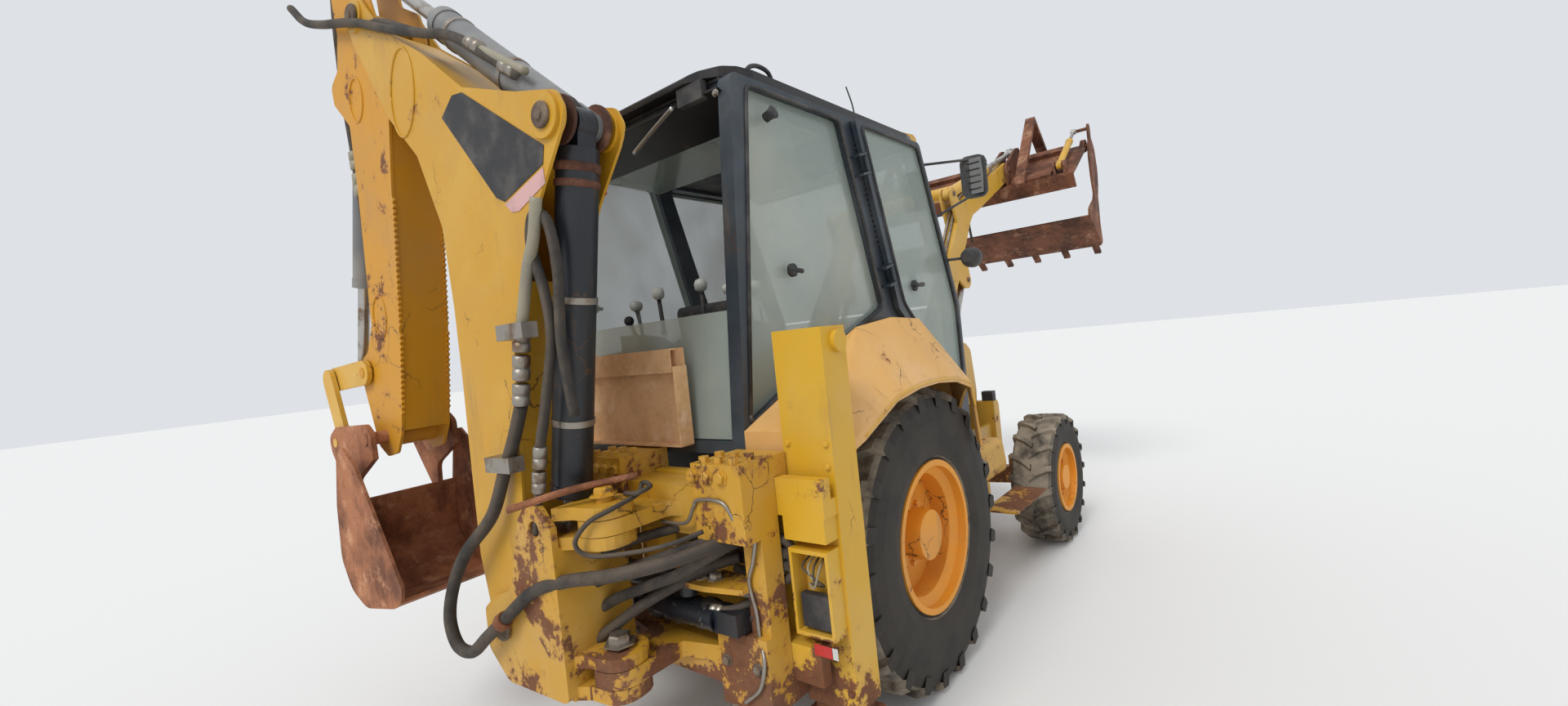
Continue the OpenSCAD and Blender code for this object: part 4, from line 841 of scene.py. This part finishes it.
# carriage bolts as (x, y from the swing axis, z)
clampBolts = [(-1.225, y, 1.285) for y in (-0.41, -0.34, -0.27, 0.19, 0.25, 0.31)]
lowBolts = [(-1.18, y, 0.42) for y in (-0.44, -0.32, 0.22, 0.34)]
lowBolts += [(-1.18, y, 0.6) for y in (-0.45, -0.3, 0.21, 0.35)]
bracketBolts = [(-1.19, -0.13, 0.885), (-1.175, -0.195, 0.885), (-1.16, -0.26, 0.885)]


def makeCarriage():
    makeHoses(carriageHoses, at, "carriage")
    for k, points in enumerate(swingHoses):
        radius = 0.019 if k % 2 else 0.021
        hose(f"swing_hose_{k + 1}", [at(*p) for p in points], radius, "carriage", to="kingpost")
    back, up = (-1, 0, 0), (0, 0, 1)
    for name, spots, way, size, body, finish in (
            ("clamp_bolts", clampBolts, back, 0.022, "carriage", "yellowWorn"),
            ("lower_clamp_bolts", lowBolts, back, 0.017, "carriage", "oldSteel"),
            ("swing_bracket_bolts", bracketBolts, up, 0.024, "carriage", "paleFitting"),
            ("swing_nut", [(-1.42, 0, 0.7)], up, 0.042, "kingpost", "fittingSteel"),
            ("king_nut", [(-1.42, 0, 1.245)], up, 0.036, "kingpost", "yellowWorn")):
        boltSet(name, [at(x, y - swingAxis["right"], z) for x, y, z in spots], way, size, body, finish)
    # loops behind the right column
    for k, z in enumerate((1.03, 0.985, 0.94)):
        loop = [(-1.02, -0.45, z - 0.02), (-1.03, -0.75, z), (-1.03, -0.93, z - 0.005),
                (-1.02, -0.99, z - 0.04), (-1.03, -0.93, z - 0.075), (-1.02, -0.7, z - 0.07)]
        hose(f"rear_loop_{k + 1}", [at(*p) for p in loop], 0.017, "machine")
    # bracket on the column, and the swing cylinder's hose ends
    corners = [(-1.235, -0.74), (-1.2, -0.9), (-1.1, -0.9), (-1.08, -0.7), (-1.12, -0.5),
               (-1.2, -0.47), (-1.24, -0.55)]
    plate("swing_bracket", [at(x, y, 0.865) for x, y in corners], (0, 0, 0.02), "yellowWorn", "carriage")
    for k, z in enumerate((0.735, 0.79)):
        pair = (at(-1.205, -0.74, z), at(-1.2, -0.79, z))
        sleeves(f"swing_fittings_{k + 1}", [pair], 0.021, "carriage", "paleFitting")
        run = [at(-1.2, -0.785, z), at(-1.17, -0.84, z + 0.01), at(-1.12, -0.9, z + 0.04)]
        hose(f"swing_feed_{k + 1}", run, 0.016, "carriage", sides=10)
    # round worn marks where the pins rub on the rail's end
    for name, z in (("upper", 1.18), ("lower", 0.57)):
        mark = (at(-1.0505, -0.91, z), (-1, 0, 0), [(0, 0.045), (0.0015, 0.045)])
        turned(f"rail_mark_{name}", [mark], "brightRust", "machine", 32)
    print("carriage dressed")


makeCarriage()


# openings of the side glass as (x, z), with the y of their rubber seal
glassEdges = {
    "quarter": {"y": 0.752, "points": [
        (-0.905, 1.412), (-0.69, 1.512), (0.25, 1.862), (-0.014, 2.815), (-0.716, 2.815)]},
    "door": {"y": 0.788, "points": [
        (1.01, 1.395), (1.135, 1.4), (1.135, 1.842), (0.775, 2.806), (0.144, 2.806), (0.42, 1.872),
        (0.702, 1.618)]},
}
seal = {"radius": 0.009, "corner": 0.04}


def makeSeals():
    for name, edge in glassEdges.items():
        corners = [Vector(p) for p in edge["points"]]
        for side, hand in hands:
            path = []
            for i, here in enumerate(corners):
                before, after = corners[i - 1], corners[(i + 1) % len(corners)]
                a, b = (here + (other - here).normalized() * seal["corner"] for other in (before, after))
                for t in (0, 0.25, 0.5, 0.75, 1):
                    p = a * (1 - t) ** 2 + here * 2 * t * (1 - t) + b * t * t
                    path.append(at(p.x, side * edge["y"], p.y))
            path.append(path[0])
            piece = f"seal_{name}_{hand}"
            body = f"door_{hand}" if name == "door" else "machine"
            addPiece(piece, tubeMesh(piece, path, seal["radius"], 8), "blackPlastic", body, True)


makeSeals()


# ribbed strip on the cab's middle post, from foot to top as (x, z)
vent = {"foot": (0.325, 2.02), "top": (0.125, 2.74), "y": 0.751, "ribs": 26, "half": 0.028, "thick": 0.006}


def makePostVents():
    foot, top = Vector(vent["foot"]), Vector(vent["top"])
    way = (top - foot).normalized()
    across = Vector((way.y, -way.x))
    half, count = vent["half"], vent["ribs"]
    for side, hand in hands:
        ribs = []
        for k in range(count):
            c = foot.lerp(top, (k + 0.5) / count) - across * half
            ribs.append((at(c.x, side * vent["y"], c.y), (across.x, 0, across.y),
                         [(0, vent["thick"]), (2 * half, vent["thick"])]))
        turned(f"post_vent_{hand}", ribs, "blackPlastic", "machine", 6)


makePostVents()


# turned trim of the cab on both hands: start, direction and profile of each part; y is the left hand's
cabTrim = {
    "window_latch": {"finish": "blackPlastic", "sides": 16, "parts": [
        ((-0.53, 0.745, 2.04), (0, 1, 0), [(0, 0.03), (0.016, 0.03), (0.022, 0.02)]),
        ((-0.56, 0.762, 2.045), (1, 0, -0.1), [(0, 0.009), (0.09, 0.011)]),
        ((-0.6, 0.745, 2.7), (0, 1, 0.25), [(0, 0.022), (0.03, 0.022), (0.05, 0.03), (0.055, 0.02)])]},
    "door_handle": {"finish": "blackPlastic", "sides": 16, "parts": [
        ((0.56, 0.786, 1.97), (0, 1, 0), [(0, 0.032), (0.012, 0.032), (0.018, 0.022)]),
        ((0.53, 0.806, 1.97), (1, 0, 0.05), [(0, 0.01), (0.11, 0.013)])]},
    "stalk_lamp_lens": {"finish": "lampLens", "sides": 28, "parts": [
        ((1.205, 0.9, 2.14), (1, 0, 0), [(0, 0.056), (0.006, 0.054), (0.012, 0.04), (0.015, 0.02)])]},
    "stalk_lamp_cup": {"finish": "blackPlastic", "sides": 28, "parts": [
        ((1.098, 0.9, 2.14), (1, 0, 0), [(0, 0.03), (0.002, 0.042), (0.064, 0.0645), (0.108, 0.0645)])]},
}
mirror = {"x": 1.1185, "y": 0.982, "z": 2.632, "face": [
    (-0.06, -0.11), (0.06, -0.11), (0.068, 0), (0.06, 0.11), (-0.06, 0.11), (-0.068, 0)],
    "ribs": (-0.08, -0.04, 0, 0.04, 0.08)}
# yellow brow over the roof's front corner and the beading on the fender's edge, as (x, z)
brow = [(0.638, 2.898), (0.648, 2.915), (0.94, 2.941), (0.977, 2.927), (0.995, 2.848), (0.978, 2.848),
        (0.962, 2.898)]
bead = [(-0.7, 1.335), (-0.42, 1.445), (-0.2, 1.472), (-0.01, 1.474), (0.2, 1.455), (0.37, 1.405),
        (0.4, 1.29)]
headlamp = [(0.28, 1.012), (0.36, 1.012), (0.36, 1.073), (0.28, 1.073)]


def makeCabTrim():
    for side, hand in hands:
        for name, kind in cabTrim.items():
            stacks = [(at(x, side * y, z), (a, side * b, c), profile)
                      for (x, y, z), (a, b, c), profile in kind["parts"]]
            body = f"door_{hand}" if name == "door_handle" else "machine"
            turned(f"{name}_{hand}", stacks, kind["finish"], body, kind["sides"], True)
        lens = [at(2.7905, side * y, z) for y, z in headlamp]
        plate(f"headlamp_lens_{hand}", lens, (0.006, 0, 0), "lampLens", "machine")
        x, y, z = mirror["x"], side * mirror["y"], mirror["z"]
        face = [at(x, y + a, z + b) for a, b in mirror["face"]]
        plate(f"mirror_glass_{hand}", face, (-0.002, 0, 0), "greyPlastic", "machine")
        rib = [(0, 0.005), (0.1, 0.005)]
        ribs = [(at(x - 0.002, y - 0.05, z + b), (0, 1, 0), rib) for b in mirror["ribs"]]
        turned(f"mirror_ribs_{hand}", ribs, "blackPlastic", "machine", 8, True)
        outline = [at(x, side * 0.557, z) for x, z in brow]
        plate(f"roof_brow_{hand}", outline, (0, side * 0.136, 0), "yellow", "machine")
        edge = [at(x, side * 1.146, z) for x, z in bead]
        hose(f"fender_bead_{hand}", edge, 0.008, "machine", "yellow", sides=8)


makeCabTrim()


# grab handle and aerial on the roof, strut of the back window
roofRods = {
    "roof_handle": {"radius": 0.01, "finish": "blackPlastic", "sides": 10, "points": [
        (-0.66, -0.7, 2.885), (-0.62, -0.7, 2.93), (-0.56, -0.7, 2.95), (-0.49, -0.7, 2.94),
        (-0.46, -0.7, 2.885)]},
    "roof_aerial": {"radius": 0.004, "finish": "blackPlastic", "sides": 6, "points": [
        (0.24, -0.7, 2.885), (0.2, -0.71, 2.96), (0.14, -0.72, 3.03)]},
    "back_strut": {"radius": 0.01, "finish": "rodSteel", "sides": 10, "points": [
        (-0.84, -0.43, 2.79), (-0.84, -0.28, 2.73), (-0.84, -0.14, 2.67)]},
}


def makeRoof():
    makeHoses(roofRods, at, "machine")
    # dark lining under the roof and the panel over the back opening
    lining = [at(x, y, 2.836) for x, y in ((-0.8, -0.68), (0.8, -0.68), (0.8, 0.68), (-0.8, 0.68))]
    plate("roof_lining", lining, (0, 0, 0.012), "blackPlastic", "machine")
    panel = [at(x, y, z) for x, z, pair in ((-0.84, 2.785, (-0.7, 0.7)), (-0.6, 2.7, (0.7, -0.7)))
             for y in pair]
    plate("back_hood", panel, (0, 0, 0.008), "blackGloss", "machine")
    boltSet("hood_bolt", [at(-0.862, y, 2.755) for y in (-0.71, 0.71)], (-1, 0, 0), 0.012, "machine")
    print("cab trimmed")


makeRoof()


def pillow(name, lo, hi, body, finish, power=0.36):
    # a crowned closed cushion inside a box
    lo, hi = Vector(lo), Vector(hi)
    centre, half = (lo + hi) / 2, (hi - lo) / 2
    rings, sides = 20, 32

    def bend(t):
        return copysign(abs(t) ** power, t)

    verts = []
    for i in range(rings + 1):
        lift = pi * (i / rings - 0.5)
        spread = bend(cos(lift)) if 0 < i < rings else 0.0
        for k in range(sides):
            a = 2 * pi * k / sides
            x, y = spread * bend(cos(a)), spread * bend(sin(a))
            verts.append(centre + Vector((half.x * x, half.y * y, half.z * bend(sin(lift)))))
    mesh = mended(meshFrom(name, verts, gridFaces(rings + 1, sides)), 0.0005)
    addPiece(name, mesh, finish, body, True)


# sloped grey console with three levers on each hand: outline as (x, z), levers as (x, y, lean)
console = {
    "y": 0.335, "wide": 0.16,
    "outline": [(-0.56, 1.642), (-0.16, 1.642), (-0.2, 1.72), (-0.4, 1.83), (-0.56, 1.85)],
    "levers": [(-0.5, 0.36, -0.2), (-0.46, 0.41, -0.1), (-0.42, 0.46, -0.15)],
}
knob = [(0, 0.01), (0.01, 0.024), (0.03, 0.029), (0.048, 0.024), (0.055, 0.01)]
tallKnob = [(0, 0.012), (0.012, 0.03), (0.04, 0.034), (0.06, 0.026), (0.068, 0.008)]


def makeCabInside():
    pillow("seat_cushion", at(-0.27, -0.245, 1.335), at(0.235, 0.245, 1.462), "machine", "seatCloth")
    pillow("seat_back", at(-0.35, -0.235, 1.5), at(-0.2, 0.235, 1.97), "machine", "seatCloth")
    for side, hand in hands:
        outline = [at(x, side * console["y"], z) for x, z in console["outline"]]
        plate(f"console_{hand}", outline, (0, side * console["wide"], 0), "greyPlastic", "machine")
        feet = [(at(x, side * y, 1.8), Vector((lean, 0, 1)).normalized())
                for x, y, lean in console["levers"]]
        levers = [(foot, way, [(0, 0.006), (0.19, 0.006)]) for foot, way in feet]
        turned(f"levers_{hand}", levers, "greyPlastic", "machine", 14, True)
        knobs = [(foot + way * 0.185, way, knob) for foot, way in feet]
        turned(f"lever_knobs_{hand}", knobs, "lampLens", "machine", 18, True)
    # two tall backhoe levers behind the seat
    stem = [(0, 0.016), (0.03, 0.012), (0.2, 0.011)]
    tall = [(at(-0.52, y, 1.83), (-0.05, 0.15 * y, 1), stem) for y in (-0.16, 0.16)]
    turned("hoe_levers", tall, "blackPlastic", "machine", 16, True)
    tops = [(at(-0.53, y, 2.02), (0, 0, 1), tallKnob) for y in (-0.165, 0.165)]
    turned("hoe_lever_knobs", tops, "lampLens", "machine", 20, True)
    print("cab inside made")


makeCabInside()


# reflector under the lamp box: place across, width
reflectors = [("redLens", 1.075, 0.075), ("lampLens", 1.152, 0.022)]
legBolts = [(1.155, 0.47), (1.155, 0.6), (1.155, 1.28), (1.155, 1.36), (0.985, 1.36)]


def makeRearFrameTrim():
    for side, hand in hands:
        # wires and a broken lamp in the open box
        corners = ((1.03, 0.72), (1.15, 0.72), (1.15, 0.84), (1.03, 0.84))
        box = onHand(side, [(-1.01, y, z) for y, z in corners])
        plate(f"tail_lamp_{hand}", box, (-0.03, 0, 0), "blackPlastic", "machine")
        for k in range(4):
            wire = [(-0.99, 1.05 + 0.02 * k, 0.96), (-1.03, 1.04 + 0.025 * k, 0.93),
                    (-1.035, 1.09, 0.9 - 0.012 * k), (-1.02, 1.12 - 0.02 * k, 0.87), (-0.99, 1.08, 0.85)]
            finish = "paleHose" if k % 2 else "hoseRubber"
            hose(f"lamp_wire_{hand}_{k + 1}", onHand(side, wire), 0.004, "machine", finish, sides=6)
        for k, (finish, y, wide) in enumerate(reflectors):
            corners = ((y, 0.632), (y + wide, 0.632), (y + wide, 0.672), (y, 0.672))
            strip = onHand(side, [(-1.0505, a, b) for a, b in corners])
            plate(f"reflector_{hand}_{k + 1}", strip, (-0.001, 0, 0), finish, "machine")
        spots = onHand(side, [(-0.9705, y, z) for y, z in legBolts])
        boltSet(f"leg_bolts_{hand}", spots, (-1, 0, 0), 0.011, "machine", "legYellow")
    print("rear frame trimmed")


makeRearFrameTrim()


# the loader: points along and above the raised arm's line, from its pivot
loader = {"x": 1.3, "z": 1.62, "angle": radians(39.5)}
armPipe = [(0.05, 0.125), (0.5, 0.236), (1.0, 0.362), (1.18, 0.398), (1.32, 0.372), (1.7, 0.256),
           (2.05, 0.148)]
armHose = [(2.05, 0.148, 0.5), (2.12, 0.2, 0.47), (2.2, 0.22, 0.44), (2.26, 0.14, 0.425)]
# pin caps on the arm: along, above, radius, distance from the centreline
armCaps = {
    "pivot": (0, 0, 0.03, 0.572),
    "bucket": (2.266, 0, 0.028, 0.572),
    "tilt": (1.073, 0.515, 0.02, 0.571),
    "lift": (0.75, -0.06, 0.02, 0.571),
}
# slack hoses under the right arm
clevisLoops = {
    "clevis_loop_long": [(2.49, 2.4), (2.45, 2.62), (2.55, 2.84), (2.76, 2.96)],
    "clevis_loop_short": [(2.09, 2.36), (2.2, 2.62), (2.36, 2.7), (2.5, 2.62)],
}


def armAt(a, b, y):
    c, s = cos(loader["angle"]), sin(loader["angle"])
    return at(loader["x"] + a * c - b * s, y, loader["z"] + a * s + b * c)


def makeLoaderTrim():
    for side, hand in hands:
        for k, y in enumerate((0.495, 0.53)):
            pipe = [armAt(a, b, side * y) for a, b in armPipe]
            hose(f"arm_pipe_{hand}_{k + 1}", pipe, 0.01, "loader_arms", "fittingSteel", sides=8)
        end = [armAt(a, b, side * y) for a, b, y in armHose]
        hose(f"arm_hose_{hand}", end, 0.013, "loader_arms", to="loader_bucket")
        for k, (a, b) in enumerate(((0.55, 0.25), (1.55, 0.3))):
            corners = ((-0.02, -0.02), (0.02, -0.02), (0.02, 0.016), (-0.02, 0.016))
            clamp = [armAt(a + x, b + z, side * 0.475) for x, z in corners]
            plate(f"arm_clamp_{hand}_{k + 1}", clamp, (0, side * 0.075, 0), "oldSteel", "loader_arms")
        for name, (a, b, r, out) in armCaps.items():
            cap = (armAt(a, b, side * out), (0, side, 0), [(0, r), (0.006, r), (0.01, r * 0.7)])
            turned(f"arm_cap_{name}_{hand}", [cap], "oldSteel", "loader_arms", 20)
    for name, points in clevisLoops.items():
        hose(name, [at(x, -0.41, z) for x, z in points], 0.011, "loader_arms", sides=8)
    print("loader trimmed")


makeLoaderTrim()


studio = {"floor": (0.78, 0.77, 0.75), "size": 60, "sky": (0.86, 0.89, 0.93), "world": 0.85,
          "sun": 1.6, "spread": 25, "turn": (38, -18, -62)}


def makeStudio():
    size = studio["size"]
    corners = [(-size, -size, 0), (size, -size, 0), (size, size, 0), (-size, size, 0)]
    floor = meshFrom("studioFloor", corners, [(0, 1, 2, 3)])
    mat, tree, shader = newMaterial("studioFloor")
    feed(tree, shader.inputs["Base Color"], studio["floor"])
    feed(tree, shader.inputs["Roughness"], 0.9)
    floor.materials.append(mat)
    obj = newObject("studioFloor", floor)
    world = bpy.data.worlds.new("studioWorld")
    world.use_nodes = True
    background = world.node_tree.nodes["Background"]
    feed(world.node_tree, background.inputs["Color"], studio["sky"])
    feed(world.node_tree, background.inputs["Strength"], studio["world"])
    bpy.context.scene.world = world
    sun = bpy.data.lights.new("softSun", "SUN")
    sun.energy = studio["sun"]
    sun.angle = radians(studio["spread"])
    lamp = newObject("softSun", sun)
    lamp.rotation_euler = [radians(turn) for turn in studio["turn"]]
    bpy.context.scene.view_settings.view_transform = "Standard"


makeStudio()
print("studio lit")
